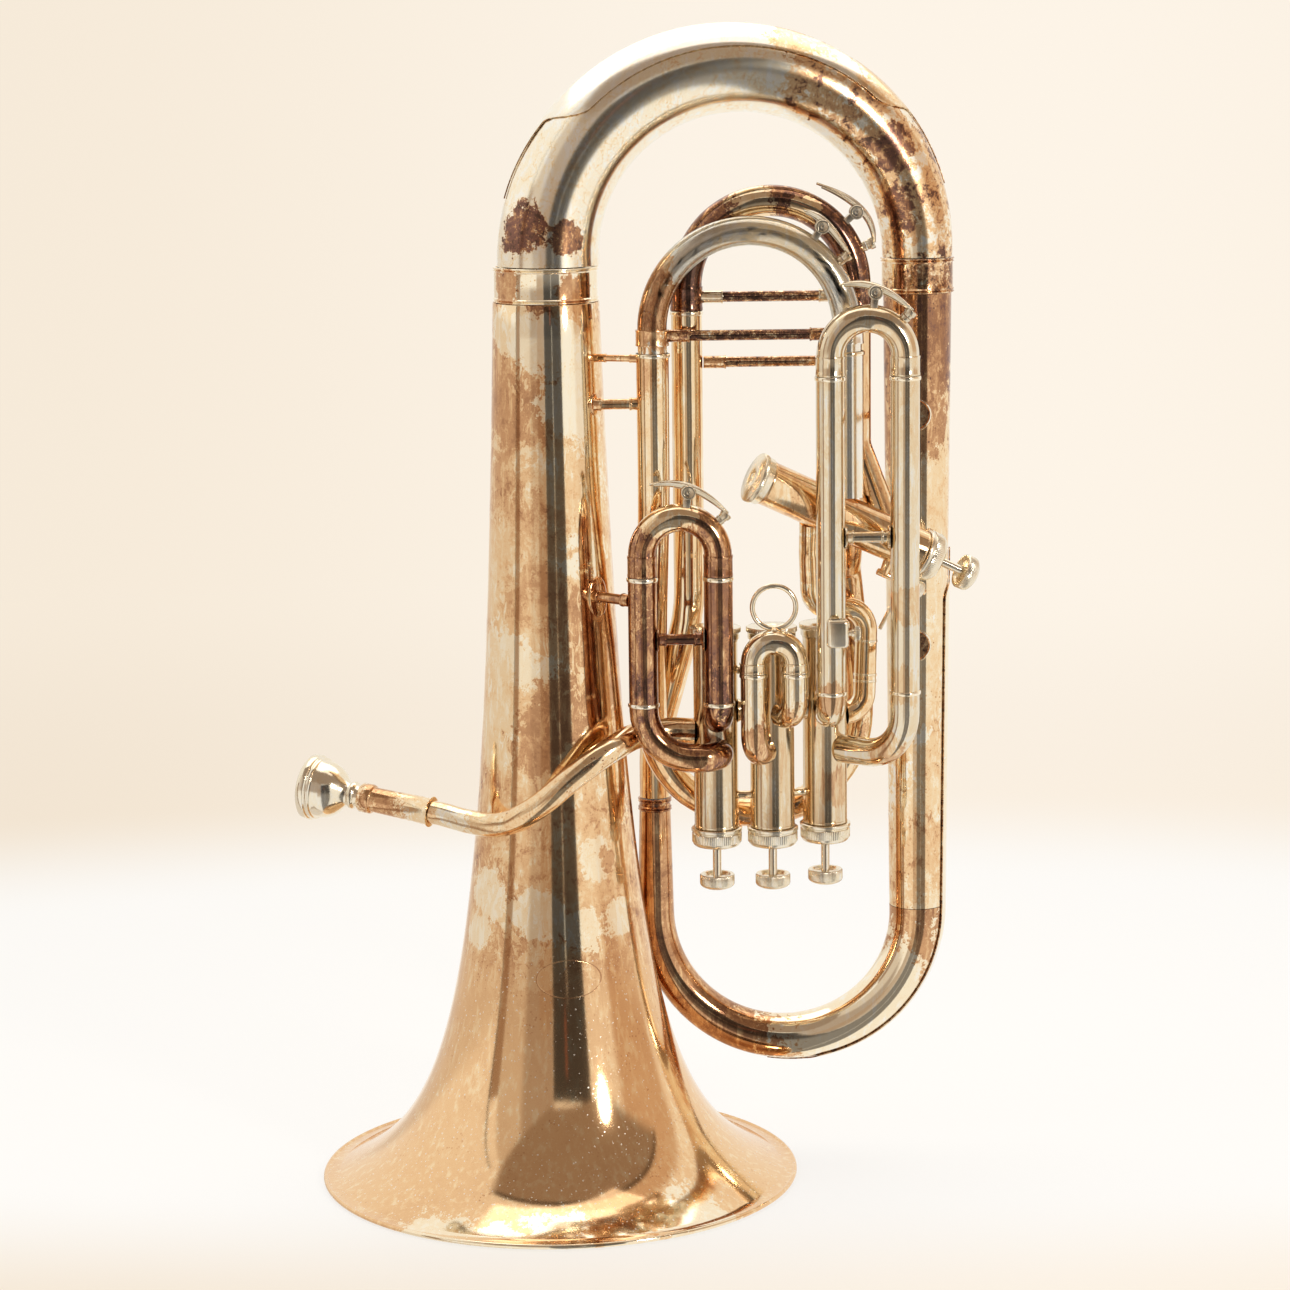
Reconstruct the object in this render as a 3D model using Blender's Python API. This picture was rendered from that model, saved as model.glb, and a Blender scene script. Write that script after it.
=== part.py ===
"""Compensating-size euphonium with three upright valves and a slanted fourth valve.

The instrument stands on its bell, mouth down, as it is put away between uses.
X runs to the right, Y to the back and Z up.  Lengths are in metres.
Places are measured from the bell's axis, and P() moves them so that the whole
object's box is centred over the origin.
"""
import math

import bmesh
import bpy
from mathutils import Matrix, Vector

# Clearances
GAP = 0.0003            # air between two soldered or seated pieces
RUN = 0.00006           # running clearance of a piston in its casing
SLIDE_PLAY = 0.0003     # radial play of a tuning slide in its sleeve
PIN_PLAY = 0.0001       # radial play on hinge pins and stems

# The whole instrument
BELL_X = -0.0484        # bell axis, left of the middle of the object
WALL = 0.0007           # sheet thickness of bell and branches
BACK_Y = 0.034          # plane of the bottom bow and outer branch
FRONT_Y = -0.046        # plane of the three front slides

# Bell
RIM_R = 0.140
MOUTH_R = 0.138
FLARE_Z = 0.0264        # height scale of the flare
RIM_H = 0.0030          # height of the rolled bead
BELL_TOP_Z = 0.5145
BELL_SIDES = 24

# Top bow and its ferrules
FERRULE_H = 0.0205
BOW_START_R = 0.0292
BOW_END_R = 0.0203
TOP_BOW_X = 0.0015
BRANCH_X = 0.2134
BOW_STEPS = 12          # stations along the half circle
BOW_SIDES = 16
LEAD_IN = 0.0030        # straight piece before each large bow starts to turn
GUARD_T = 0.0008        # thickness of the two guard plates
BAND = 0.0007           # how far ferrules and bands stand proud
EDGE_H = 0.0016         # height of the bead at a ferrule's edge
FERRULE_WALL = 0.0013
BRANCH_FERRULE_H = 0.0205

# Outer branch, bottom bow, inner branch
BRANCH_END_R = 0.0163
ARC_Z = 0.1515          # height where the bottom bow starts to turn
INNER_X = 0.0585
BOTTOM_END_R = 0.0093
BOTTOM_TOP_Z = 0.2105
BOTTOM_STEPS = 10
INNER_FERRULE_H = 0.0080
GUARD_RISE = 0.214      # how far the lower guard runs up the branch
GUARD_STEPS = 5         # stations on the branch, and one more than that round the bow

# Valves 1 to 3
VALVE_1_X = 0.0940
VALVE_Y = -0.0200
CAP_AIR = 0.0028        # air between two neighbouring caps
THIRD_SET_BACK = 0.0095
PISTON_R = 0.0113
PISTON_L = 0.0760
PISTON_WALL = 0.0012    # round the recess that the spring sits in
RECESS_H = 0.0120
NECK_WALL = 0.00074     # wall of the casing's neck, under the cap's thread
NECK_H = 0.0050
SHOULDER = 0.0009       # the casing is thicker than its neck by this
CASING_Z = 0.2125       # end of the casing on the button side
CASING_L = 0.1095
CAP_WALL = 0.0023
CAP_H = 0.0115
BOTTOM_CAP_H = 0.0080
STEM_R = 0.0025
STROKE = 0.0155
FELT = 0.0011           # felt left between button and cap at full stroke
BUTTON_R = 0.0101
BUTTON_H = 0.0089
SPRING_ROOM = 0.0013    # from the middle of the wire to the recess's wall
SPRING_WIRE_R = 0.0005
SPRING_CURLS = 4
KNUCKLE_R = 0.0060
KNUCKLE_Z = 0.2805
STAY_R = 0.0022         # short stays between the casings
STAY_LOW_Z = 0.2310
STAY_HIGH_Z = 0.3040
VALVE_SIDES = 12

# Valve 4, lying at a slant behind the third slide
VALVE_4_START = (0.1156, -0.0350, 0.4175)
VALVE_4_DIR = (0.8651, 0.2502, -0.4347)
VALVE_4_L = 0.1225      # over both caps

# Tube sizes: inner leg, sleeve and bow of each slide
LEG_R = 0.0075
SLEEVE_R = 0.00825
BOW_R = 0.0079
LEG_2_R = 0.0066
SLEEVE_2_R = 0.0074
LEG_4_R = 0.0083
SLEEVE_4_R = 0.0093
MAIN_LEG_R = 0.0080
MAIN_SLEEVE_R = 0.0089
ELBOW_R = 0.0130
RING_H = 0.0024         # height of the ring at a sleeve's mouth
BAND_H = 0.0022         # height of the band lower down on a sleeve
LEG_IN = 0.0540         # length of inner leg inside a long sleeve
LEG_2_IN = 0.0120

# Slide 1
S1_LEFT_X = 0.0527
S1_RIGHT_X = 0.0955
S1_SEAT_Z = 0.3625
S1_FERRULE_H = 0.0120
S1_RIGHT_Z = 0.2787     # height where the right leg enters the valve
S1_LEFT_Z = 0.2580
S1_BEND_R = 0.0285
S1_CURL_R = 0.0120
S1_BRACE_Z = 0.3267
S1_BAND_Z = 0.2905      # band lower down on both outer tubes

# Slide 2
S2_LEFT_OUT = 0.0112    # each leg's distance from the valve's axis
S2_RIGHT_OUT = 0.0124
S2_SEAT_Z = 0.3067
S2_FERRULE_H = 0.0057
S2_LEFT_Z = 0.2586
S2_RIGHT_Z = 0.2800
RING_R = 0.01225
RING_WIRE_R = 0.0015

# Slide 3
S3_OUT = 0.0020         # left leg's distance from the valve's axis
S3_SPAN = 0.0417        # from leg to leg
S3_SEAT_Z = 0.4745
S3_FERRULE_H = 0.0110
S3_LEFT_Z = 0.2809
S3_RIGHT_Z = 0.2570
S3_BEND_R = 0.0260
S3_BRACE_Z = 0.3838
S3_BAND_Z = 0.2960

# Slide 4 and its loop
S4_LEFT_X = 0.0599
S4_RIGHT_X = 0.1699
S4_Y = -0.0180
S4_SEAT_Z = 0.4860
S4_OUT = 0.0040         # how far the slide stands out at rest
S4_FERRULE_H = 0.0090
S4_KNEE_Z = 0.4250      # the right sleeve leans to the valve from here
LOOP_Z = 0.2137         # lowest centre of the loop
LOOP_LEFT_X = 0.0573
LOOP_LEFT_Y = 0.0040
LOOP_KNEE_Z = 0.4050    # the left sleeve leans back from here
LOOP_JOG_Z = 0.3050     # and stands upright again from here
LOOP_KNEE_R = 0.1200
LOOP_BEND_R = 0.0585    # both bends at the foot of the loop
LOOP_BACK = 0.0020      # the foot stands this far behind the left leg
RISER_X = 0.1774
RISER_Y = 0.0150
RISER_KNEE_Z = 0.2900
RISER_KNEE_R = 0.0500
RISER_OUT = 0.0010      # the riser leans out this far up to its knee
RISER_TOP_X = 0.1715    # where the riser turns to the valve
RISER_TOP_Z = 0.3560
RISER_TOP_R = 0.0120
LOOP_END_R = 0.0080     # tube at the valve's end of the loop

# Main tuning slide
M_LEFT_X = 0.0797
M_RIGHT_X = 0.1756
M_Y = 0.0010
M_SEAT_Z = 0.5081
M_FERRULE_H = 0.0135
M_KNEE_Z = 0.4300       # the right sleeve turns to the fourth valve from here
M_KNEE_R = 0.0160
M_VALVE_X = 0.1950      # where it meets that valve's axis
INNER_KNEE_Z = 0.3350   # the inner branch leans back from here
INNER_KNEE_R = 0.0600
INNER_JOG_Z = 0.2500    # and stands in the bottom bow's plane from here
INNER_JOG_R = 0.0500

# Crossover from valve 3 to valve 4.  Its x and y are measured from valve 3's axis
CROSS_R = 0.0064
CROSS_BORE_R = 0.0052
CROSS_Z = 0.2745        # height where it leaves valve 3
CROSS_OUT = (0.0230, 0.0065, 0.2760)
CROSS_SIDE = (0.0250, 0.0105)
CROSS_TOP_Z = 0.3370
CROSS_BACK = (-0.0070, 0.0025)
CROSS_END = (-0.0083, -0.0015, 0.3700)
CROSS_BENDS = (0.0120, 0.0140, 0.0120, 0.0200)

# Rods between tubes
ROD_R = 0.00335
THIN_ROD_R = 0.0022
PAD_R = 0.0075          # solder pads under the rods
PAD_T = 0.0012
BELL_STAY_LOW_Z = 0.3490
BELL_STAY_MID_Z = 0.4574
BELL_STAY_TOP_Z = 0.4830
BRANCH_ROD_LOW_Z = 0.3104
BRANCH_ROD_HIGH_Z = 0.4455
MAIN_ROD_Z = 0.4787

# Leadpipe, receiver and mouthpiece
LEAD_START = (-0.0696, -0.0260, 0.2241)
LEAD_ROUTE = ((-0.0490, -0.0360, 0.2208), (-0.0310, -0.0450, 0.2205), (-0.0120, -0.0530, 0.2300),
              (0.0130, -0.0535, 0.2500), (0.0350, -0.0450, 0.2640), (0.0520, -0.0280, 0.2690),
              (0.0680, -0.0208, 0.2690))
LEAD_END_Z = 0.2685     # height where it enters valve 1
LEAD_LEVEL = 0.0060     # straight piece behind the receiver
MP_RIM_AT = (-0.1432, 0.0060, 0.2335)
LEAD_START_R = 0.0068
LEAD_END_R = 0.0077
RECEIVER_R = 0.0080
RECEIVER_L = 0.0460
SHANK_R = 0.0058
SHANK_IN = 0.0150       # length of shank inside the receiver
MP_RIM_R = 0.01925
MP_CUP_R = 0.0128

# Water keys, lyre box and lock
KEY_T = 0.0015
KEY_W = 0.0068
BARREL_R = 0.0024
BARREL_L = 0.0058
PIN_R = 0.0010
EAR_T = 0.0015
CORK_R = 0.0034
CORK_L = 0.0046
VENT_H = 0.0016         # nipple under the cork
KEY_RISE = 0.0068       # hinge pin above the bow's skin
LEVER_RISE = 0.0042     # thumb end above the hinge pin
# Angles round each bow from its top, clockwise: hinge, cork, and how far back the lever reaches
KEY_1_TURN = (8.0, 49.0, 58.0)
KEY_3_TURN = (7.0, 45.0, 58.0)
KEY_4_TURN = (36.0, 54.0, 22.0)
KEY_MAIN_TURN = (50.0, 68.0, 27.0)
LYRE_W = 0.0125
LYRE_D = 0.0080
LYRE_H = 0.0165
LYRE_HOLE = 0.0056
LYRE_Z = 0.3313
SCREW_R = 0.0040
LOCK_POST_R = 0.0020
LOCK_HEAD_R = 0.0050

SIDES = 10              # facets round a small tube
AIR_SIDES = 6           # facets round the air passage inside it
RING_STEPS = 14         # facets round the finger ring

# Sizes that follow from those above
BOW_Z = BELL_TOP_Z + FERRULE_H
BOW_R0 = (BRANCH_X - TOP_BOW_X) / 2
BOTTOM_R = (BRANCH_X - INNER_X) / 2
BRANCH_START_R = BOW_END_R - 0.0005
RECESS_R = PISTON_R - PISTON_WALL
SPRING_R = RECESS_R - SPRING_ROOM
NECK_R = PISTON_R + RUN + NECK_WALL
CASING_R = NECK_R + SHOULDER
CAP_R = NECK_R + GAP + CAP_WALL
LOCK_OFF = CAP_R + LOCK_HEAD_R + GAP    # lock's post from the fourth valve's axis
VALVE_PITCH = 2 * CAP_R + CAP_AIR
VALVE_2_X = VALVE_1_X + VALVE_PITCH
VALVE_3_X = VALVE_2_X + math.sqrt(VALVE_PITCH ** 2 - THIRD_SET_BACK ** 2)
VALVE_3_Y = VALVE_Y + THIRD_SET_BACK
S2_LEFT_X = VALVE_2_X - S2_LEFT_OUT
S2_RIGHT_X = VALVE_2_X + S2_RIGHT_OUT
S3_LEFT_X = VALVE_3_X + S3_OUT
S3_RIGHT_X = S3_LEFT_X + S3_SPAN
CASING_4_L = VALVE_4_L - CAP_H - BOTTOM_CAP_H

for old in list(bpy.data.objects):
    bpy.data.objects.remove(old)


def P(x, y, z):
    """A point measured from the bell's axis, x right, y back, z up."""
    return Vector((x + BELL_X, y, z))


def metal(name, colour, roughness, metallic=1.0):
    mat = bpy.data.materials.new(name)
    mat.use_nodes = True
    shader = mat.node_tree.nodes["Principled BSDF"]
    shader.inputs["Base Color"].default_value = (*colour, 1.0)
    shader.inputs["Roughness"].default_value = roughness
    shader.inputs["Metallic"].default_value = metallic
    mat.diffuse_color = (*colour, 1.0)
    return mat


SILVER = (0.80, 0.74, 0.64)
GOLDEN = (0.72, 0.52, 0.30)
COPPER = (0.50, 0.30, 0.20)
NICKEL = (0.74, 0.70, 0.62)


def node(name, bm, colour, roughness=0.22, origin=None, add=(), cut=(), metallic=1.0):
    """One named piece with its own material; add and cut hold its Boolean helpers in order."""
    origin = origin or P(0, 0, 0)
    bmesh.ops.translate(bm, verts=bm.verts, vec=-origin)
    bmesh.ops.recalc_face_normals(bm, faces=bm.faces)
    mesh = bpy.data.meshes.new(name)
    bm.to_mesh(mesh)
    bm.free()
    piece = bpy.data.objects.new(name, mesh)
    bpy.context.collection.objects.link(piece)
    piece.location = origin
    mesh.materials.append(metal(name, colour, roughness, metallic))
    mesh.shade_smooth()
    mesh.set_sharp_from_angle(angle=math.radians(35))
    for helper in add:
        boolean(piece, helper, "UNION")
    for helper in cut:
        boolean(piece, helper, "DIFFERENCE")
    return piece


def boolean(piece, helper, operation):
    mod = piece.modifiers.new(operation.title(), "BOOLEAN")
    mod.operation = operation
    mod.solver = "EXACT"
    mod.object = helper


def helper(name, bm):
    """A guide solid for a Boolean, drawn as wire and never rendered."""
    bmesh.ops.recalc_face_normals(bm, faces=bm.faces)
    mesh = bpy.data.meshes.new(name)
    bm.to_mesh(mesh)
    bm.free()
    guide = bpy.data.objects.new(name, mesh)
    bpy.context.collection.objects.link(guide)
    guide.display_type = "WIRE"
    guide.hide_render = True
    return guide


def rounded_route(corners, radii, arc_steps=4):
    """Centre line through the corners, each inner corner rounded to its radius."""
    pts = [corners[0].copy()]
    for i, radius in enumerate(radii, start=1):
        before = (corners[i - 1] - corners[i]).normalized()
        after = (corners[i + 1] - corners[i]).normalized()
        inside = before.angle(after)
        reach = radius / math.tan(inside / 2)
        first = corners[i] + before * reach
        centre = corners[i] + (before + after).normalized() * (radius / math.sin(inside / 2))
        start = first - centre
        axis = before.cross(after).normalized()
        turn = math.pi - inside
        count = max(2, round(arc_steps * turn / (math.pi / 2)))
        for k in range(count + 1):
            spin = Matrix.Rotation(-turn * k / count, 3, axis)
            point = centre + spin @ start
            if (point - pts[-1]).length > 0.0004:
                pts.append(point)
    if (corners[-1] - pts[-1]).length > 0.0004:
        pts.append(corners[-1].copy())
    return pts


def smooth_route(points, per_span=2):
    """Catmull-Rom centre line through the points."""
    pts = []
    ext = [points[0] * 2 - points[1]] + list(points) + [points[-1] * 2 - points[-2]]
    for i in range(1, len(ext) - 2):
        a, b, c, d = ext[i - 1:i + 3]
        for k in range(per_span):
            t = k / per_span
            pts.append(0.5 * (2 * b + (c - a) * t + (2 * a - 5 * b + 4 * c - d) * t * t
                              + (3 * b - a - 3 * c + d) * t ** 3))
    pts.append(points[-1].copy())
    return pts


def route_length(pts):
    return sum((b - a).length for a, b in zip(pts, pts[1:]))


def stations(pts, r0, r1, bands):
    """Points and radii along a route, with square steps at both edges of each band."""
    total = route_length(pts)
    marks = []
    run = 0.0
    for i, point in enumerate(pts):
        if i:
            run += (point - pts[i - 1]).length
        marks.append((run, point))
    edges = []
    for s0, s1, _ in bands:
        for s in (max(s0, 0.0), min(s1, total)):
            if all(abs(s - e) > 1e-6 for e in edges):
                edges.append(s)
    out = [(s, point) for s, point in marks if all(abs(s - e) > 0.0003 for e in edges)]
    for s in edges:
        run = 0.0
        for a, b in zip(pts, pts[1:]):
            step = (b - a).length
            if run + step >= s - 1e-9:
                out.append((s, a.lerp(b, min(max((s - run) / step, 0.0), 1.0))))
                break
            run += step
    out.sort(key=lambda item: item[0])
    result = []
    for s, point in out:
        base = r0 + (r1 - r0) * s / total
        before = [x for a, b, x in bands if a < s - 1e-7 and b >= s - 1e-7]
        after = [x for a, b, x in bands if a <= s + 1e-7 and b > s + 1e-7]
        low = base + (before[0] if before else 0.0)
        high = base + (after[0] if after else 0.0)
        if s <= 1e-9:
            result.append((point, high))
        elif s >= total - 1e-9:
            result.append((point, low))
        elif abs(low - high) > 1e-7:
            result += [(point, low), (point, high)]
        else:
            result.append((point, base + (after[0] if after else 0.0)))
    return result


def loft(rings, sides=SIDES):
    """Closed round skin through stations of (centre, radius), carried without twist."""
    bm = bmesh.new()
    centres = [c for c, _ in rings]
    tangents = []
    for i, c in enumerate(centres):
        nxt = next((p for p in centres[i + 1:] if (p - c).length > 1e-6), None)
        prv = next((p for p in reversed(centres[:i]) if (p - c).length > 1e-6), None)
        if nxt is None:
            tangents.append((c - prv).normalized())
        elif prv is None:
            tangents.append((nxt - c).normalized())
        else:
            tangents.append(((nxt - c).normalized() + (c - prv).normalized()).normalized())
    ref = Vector((1, 0, 0)) if abs(tangents[0].x) < 0.9 else Vector((0, 1, 0))
    loops = []
    for (centre, radius), tangent in zip(rings, tangents):
        ref = (ref - tangent * ref.dot(tangent)).normalized()
        other = tangent.cross(ref)
        loops.append([bm.verts.new(centre + (ref * math.cos(a) + other * math.sin(a)) * radius)
                      for a in (2 * math.pi * (k + 0.5) / sides for k in range(sides))])
    for a, b in zip(loops, loops[1:]):
        for k in range(sides):
            bm.faces.new((a[k], a[(k + 1) % sides], b[(k + 1) % sides], b[k]))
    bm.faces.new(loops[0][::-1])
    bm.faces.new(loops[-1])
    return bm


def tube(pts, r0, r1=None, bands=(), sides=SIDES):
    return loft(stations(pts, r0, r0 if r1 is None else r1, bands), sides)


def bore(name, pts, r0, r1=None, sides=SIDES, ahead=0.002, behind=0.002):
    """Guide for a bore along a route, run on past both ends."""
    first = pts[0] + (pts[0] - pts[1]).normalized() * ahead
    last = pts[-1] + (pts[-1] - pts[-2]).normalized() * behind
    line = [first] + [p.copy() for p in pts[1:-1]] + [last]
    if len(pts) == 2:
        line = [first, last]
    return helper(name, tube(line, r0, r1, sides=sides))


def turned(profile, sides=16):
    """Solid of revolution about Z from a closed outline of (radius, height) points."""
    bm = bmesh.new()
    loops = []
    for r, z in profile:
        if r < 1e-7:
            loops.append([bm.verts.new((0, 0, z))])
        else:
            loops.append([bm.verts.new((r * math.cos(a), r * math.sin(a), z))
                          for a in (2 * math.pi * k / sides for k in range(sides))])
    for a, b in zip(loops, loops[1:] + loops[:1]):
        if len(a) == 1 and len(b) == 1:
            continue
        for k in range(sides):
            n = (k + 1) % sides
            if len(a) == 1:
                bm.faces.new((a[0], b[n], b[k]))
            elif len(b) == 1:
                bm.faces.new((a[k], a[n], b[0]))
            else:
                bm.faces.new((a[k], a[n], b[n], b[k]))
    return bm


def place(bm, start, direction):
    """Lay a turned form's Z axis on a line in space."""
    turn = Vector((0, 0, 1)).rotation_difference(direction.normalized()).to_matrix().to_4x4()
    bmesh.ops.transform(bm, matrix=Matrix.Translation(start) @ turn, verts=bm.verts)
    return bm


def rod(name, a, b, radius=ROD_R, pads=(), sides=6):
    """Guide solid for a soldered rod, with a pad where it meets a tube."""
    length = (b - a).length
    bands = [(max(s - PAD_T, 0.0), min(s + PAD_T, length), PAD_R - radius) for s in pads]
    return helper(name, tube([a, b], radius, bands=bands, sides=sides))


# Bell
def flare(z):
    return MOUTH_R * math.sqrt(FLARE_Z / (z + FLARE_Z))


rows = [RIM_H + (BELL_TOP_Z - RIM_H) * (k / 10) ** 2.1 for k in range(11)]
outer = [(flare(z), z) for z in rows]
inner = [(flare(z) - WALL, z) for z in rows]
bead = [(RIM_R - 0.0045, RIM_H - 0.0006), (RIM_R - 0.0014, RIM_H), (RIM_R, RIM_H * 0.65), (RIM_R, RIM_H * 0.3),
        (RIM_R - 0.0010, 0.0), (RIM_R - 0.0030, 0.0), (RIM_R - 0.0055, RIM_H * 0.45)]
bm = turned(outer[::-1] + bead + inner, BELL_SIDES)
bmesh.ops.translate(bm, verts=bm.verts, vec=P(0, 0, 0))
node("bell", bm, SILVER, 0.16)

bell_clear = turned([(0, BELL_TOP_Z)] + [(r + GAP, z) for r, z in outer[::-1]] + [(0, RIM_H)], BELL_SIDES)
bmesh.ops.translate(bell_clear, verts=bell_clear.verts, vec=P(0, 0, 0))
bell_clear = helper("bell_clear", bell_clear)

# Ferrule on the bell's upper end: a ring with a bead at each edge
def collar(start, direction, radius, length, wall, sides):
    """Plain ferrule ring with a raised bead at both edges."""
    lo = GAP
    hi = length - GAP
    shape = [(radius + BAND, lo), (radius + BAND, lo + EDGE_H), (radius, lo + EDGE_H), (radius, hi - EDGE_H),
             (radius + BAND, hi - EDGE_H), (radius + BAND, hi), (radius - wall, hi), (radius - wall, lo)]
    return place(turned(shape, sides), start, direction)


node("bell_ferrule", collar(P(0, 0, BELL_TOP_Z), Vector((0, 0, 1)), BOW_START_R + 0.0004,
                            FERRULE_H, FERRULE_WALL, 18), SILVER, 0.20)

# Top bow
bow_pts = [P(TOP_BOW_X, 0, BOW_Z + GAP)]
for k in range(BOW_STEPS + 1):
    a = math.pi * k / BOW_STEPS
    bow_pts.append(P(TOP_BOW_X + BOW_R0 * (1 - math.cos(a)), BACK_Y * (1 - math.cos(a)) / 2,
                     BOW_Z + LEAD_IN + BOW_R0 * math.sin(a)))
bow_pts.append(P(BRANCH_X, BACK_Y, BOW_Z + GAP))
bm = tube(bow_pts, BOW_START_R, BOW_END_R, sides=BOW_SIDES)
node("top_bow", bm, SILVER, 0.14,
     cut=[bore("top_bow_bore", bow_pts, BOW_START_R - 0.0022, BOW_END_R - 0.0016, 9)])


def guard(pts, radii, first, last, centre, half, sides):
    """Thin plate on the outer line of a bow, drawn to a point at both ends."""
    steps = 4
    lift = 1 / (math.cos(math.pi / sides) * math.cos(half / steps))
    bm = bmesh.new()

    def edge_point(i, a, extra):
        j = min(max(i, 1), len(pts) - 2)
        tangent = (pts[j + 1] - pts[j]).normalized() + (pts[j] - pts[j - 1]).normalized()
        tangent.normalize()
        out = pts[i] - centre
        out = (out - tangent * out.dot(tangent)).normalized()
        ray = out * math.cos(a) + tangent.cross(out) * math.sin(a)
        return pts[i] + ray * (radii[i] * lift + GAP + extra)

    marks = [(first, f, 0.12 + 0.88 * f ** 0.6) for f in (0.0, 0.2, 0.5, 0.75)]
    marks += [(i, 0.0, 1.0) for i in range(first + 1, last - 1)]
    marks += [(last - 1, f, 0.12 + 0.88 * (1 - f) ** 0.6) for f in (0.0, 0.25, 0.5, 0.8, 1.0)]
    skins = []
    for i, f, share in marks:
        ring = []
        for extra, order in ((GUARD_T, range(steps + 1)), (0.0, range(steps, -1, -1))):
            for k in order:
                a = half * share * (2 * k / steps - 1)
                ring.append(bm.verts.new(edge_point(i, a, extra).lerp(edge_point(i + 1, a, extra), f)))
        skins.append(ring)
    for a, b in zip(skins, skins[1:]):
        for k in range(len(a)):
            n = (k + 1) % len(a)
            bm.faces.new((a[k], a[n], b[n], b[k]))
    for end in (skins[0], skins[-1]):
        half_n = len(end) // 2
        for k in range(half_n - 1):
            bm.faces.new((end[k], end[k + 1], end[-2 - k], end[-1 - k]))
    return bm


def taper(pts, r0, r1):
    """Radius at each point of a route that narrows evenly along its length."""
    total = route_length(pts)
    return [r0 + (r1 - r0) * route_length(pts[:i + 1]) / total for i in range(len(pts))]


bow_centre = P(TOP_BOW_X + BOW_R0, BACK_Y / 2, BOW_Z + LEAD_IN)
node("top_bow_guard", guard(bow_pts, taper(bow_pts, BOW_START_R, BOW_END_R), 3, BOW_STEPS - 1, bow_centre,
                            math.radians(60), BOW_SIDES), SILVER, 0.16)

# Outer branch and bottom bow
DOWN = Vector((0, 0, -1))
node("outer_branch_ferrule", collar(P(BRANCH_X, BACK_Y, BOW_Z), DOWN, BOW_END_R + 0.0003, BRANCH_FERRULE_H,
                                    FERRULE_WALL, 14), SILVER, 0.2)

branch_top_z = BOW_Z - BRANCH_FERRULE_H
branch_pts = [P(BRANCH_X, BACK_Y, branch_top_z), P(BRANCH_X, BACK_Y, ARC_Z + GUARD_RISE),
              P(BRANCH_X, BACK_Y, ARC_Z + GAP)]
branch_rods = []
for n, z in (("upper", BRANCH_ROD_HIGH_Z), ("lower", BRANCH_ROD_LOW_Z)):
    start = P(BRANCH_X, BACK_Y, z)
    end = P(S3_RIGHT_X, FRONT_Y, z)
    end = end + (start - end).normalized() * (SLEEVE_R + GAP)
    branch_rods.append(rod("branch_rod_" + n, start, end, THIN_ROD_R,
                           pads=[0.0182, (start - end).length - 0.0014]))
node("outer_branch", tube(branch_pts, BRANCH_START_R, BRANCH_END_R, sides=16), GOLDEN, 0.18,
     add=branch_rods,
     cut=[bore("outer_branch_bore", branch_pts, BOW_END_R - 0.0020, BRANCH_END_R - 0.0014, 9)])

bottom_pts = [P(BRANCH_X, BACK_Y, ARC_Z)]
for k in range(BOTTOM_STEPS + 1):
    a = math.pi * k / BOTTOM_STEPS
    bottom_pts.append(P(BRANCH_X - BOTTOM_R * (1 - math.cos(a)), BACK_Y, ARC_Z - LEAD_IN - BOTTOM_R * math.sin(a)))
bottom_pts.append(P(INNER_X, BACK_Y, BOTTOM_TOP_Z))
node("bottom_bow", tube(bottom_pts, BRANCH_END_R, BOTTOM_END_R, sides=16), COPPER, 0.2,
     cut=[bore("bottom_bow_bore", bottom_pts, BRANCH_END_R - 0.0012, BOTTOM_END_R - 0.0010, 10)])

# The lower guard starts on the branch and runs round two thirds of the bow
bottom_r = taper(bottom_pts, BRANCH_END_R, BOTTOM_END_R)
guard_pts = []
guard_r = []
for k in range(GUARD_STEPS, 0, -1):
    up_branch = GUARD_RISE * k / GUARD_STEPS
    share = up_branch / (branch_top_z - ARC_Z)
    guard_pts.append(P(BRANCH_X, BACK_Y, ARC_Z + up_branch))
    guard_r.append(BRANCH_END_R + (BRANCH_START_R - BRANCH_END_R) * share)
last = GUARD_STEPS + GUARD_STEPS + 1
bm = guard(guard_pts + bottom_pts, guard_r + bottom_r, 0, last,
           P(INNER_X + BOTTOM_R, BACK_Y, ARC_Z - LEAD_IN), math.radians(33), 16)
node("bottom_bow_guard", bm, SILVER, 0.18)

node("bottom_bow_ferrule", collar(P(INNER_X, BACK_Y, BOTTOM_TOP_Z), Vector((0, 0, 1)),
                                  BOTTOM_END_R, INNER_FERRULE_H, WALL, 12), COPPER, 0.2)

# Valves
UP = Vector((0, 0, 1))
# Each valve: start of the casing on the button side, direction towards the far cap, casing length
axis_4 = Vector(VALVE_4_DIR).normalized()
VALVES = [
    (P(VALVE_1_X, VALVE_Y, CASING_Z), UP, CASING_L),
    (P(VALVE_2_X, VALVE_Y, CASING_Z), UP, CASING_L),
    (P(VALVE_3_X, VALVE_3_Y, CASING_Z), UP, CASING_L),
    (P(*VALVE_4_START) + axis_4 * (VALVE_4_L - CAP_H), -axis_4, CASING_4_L),
]
casing_clear = []
for n, (start, up, length) in enumerate(VALVES, start=1):
    solid = place(turned([(0, -0.004), (CASING_R + GAP, -0.004), (CASING_R + GAP, length + 0.004),
                          (0, length + 0.004)], VALVE_SIDES), start, up)
    casing_clear.append(helper(f"casing_clear_{n}", solid))


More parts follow.
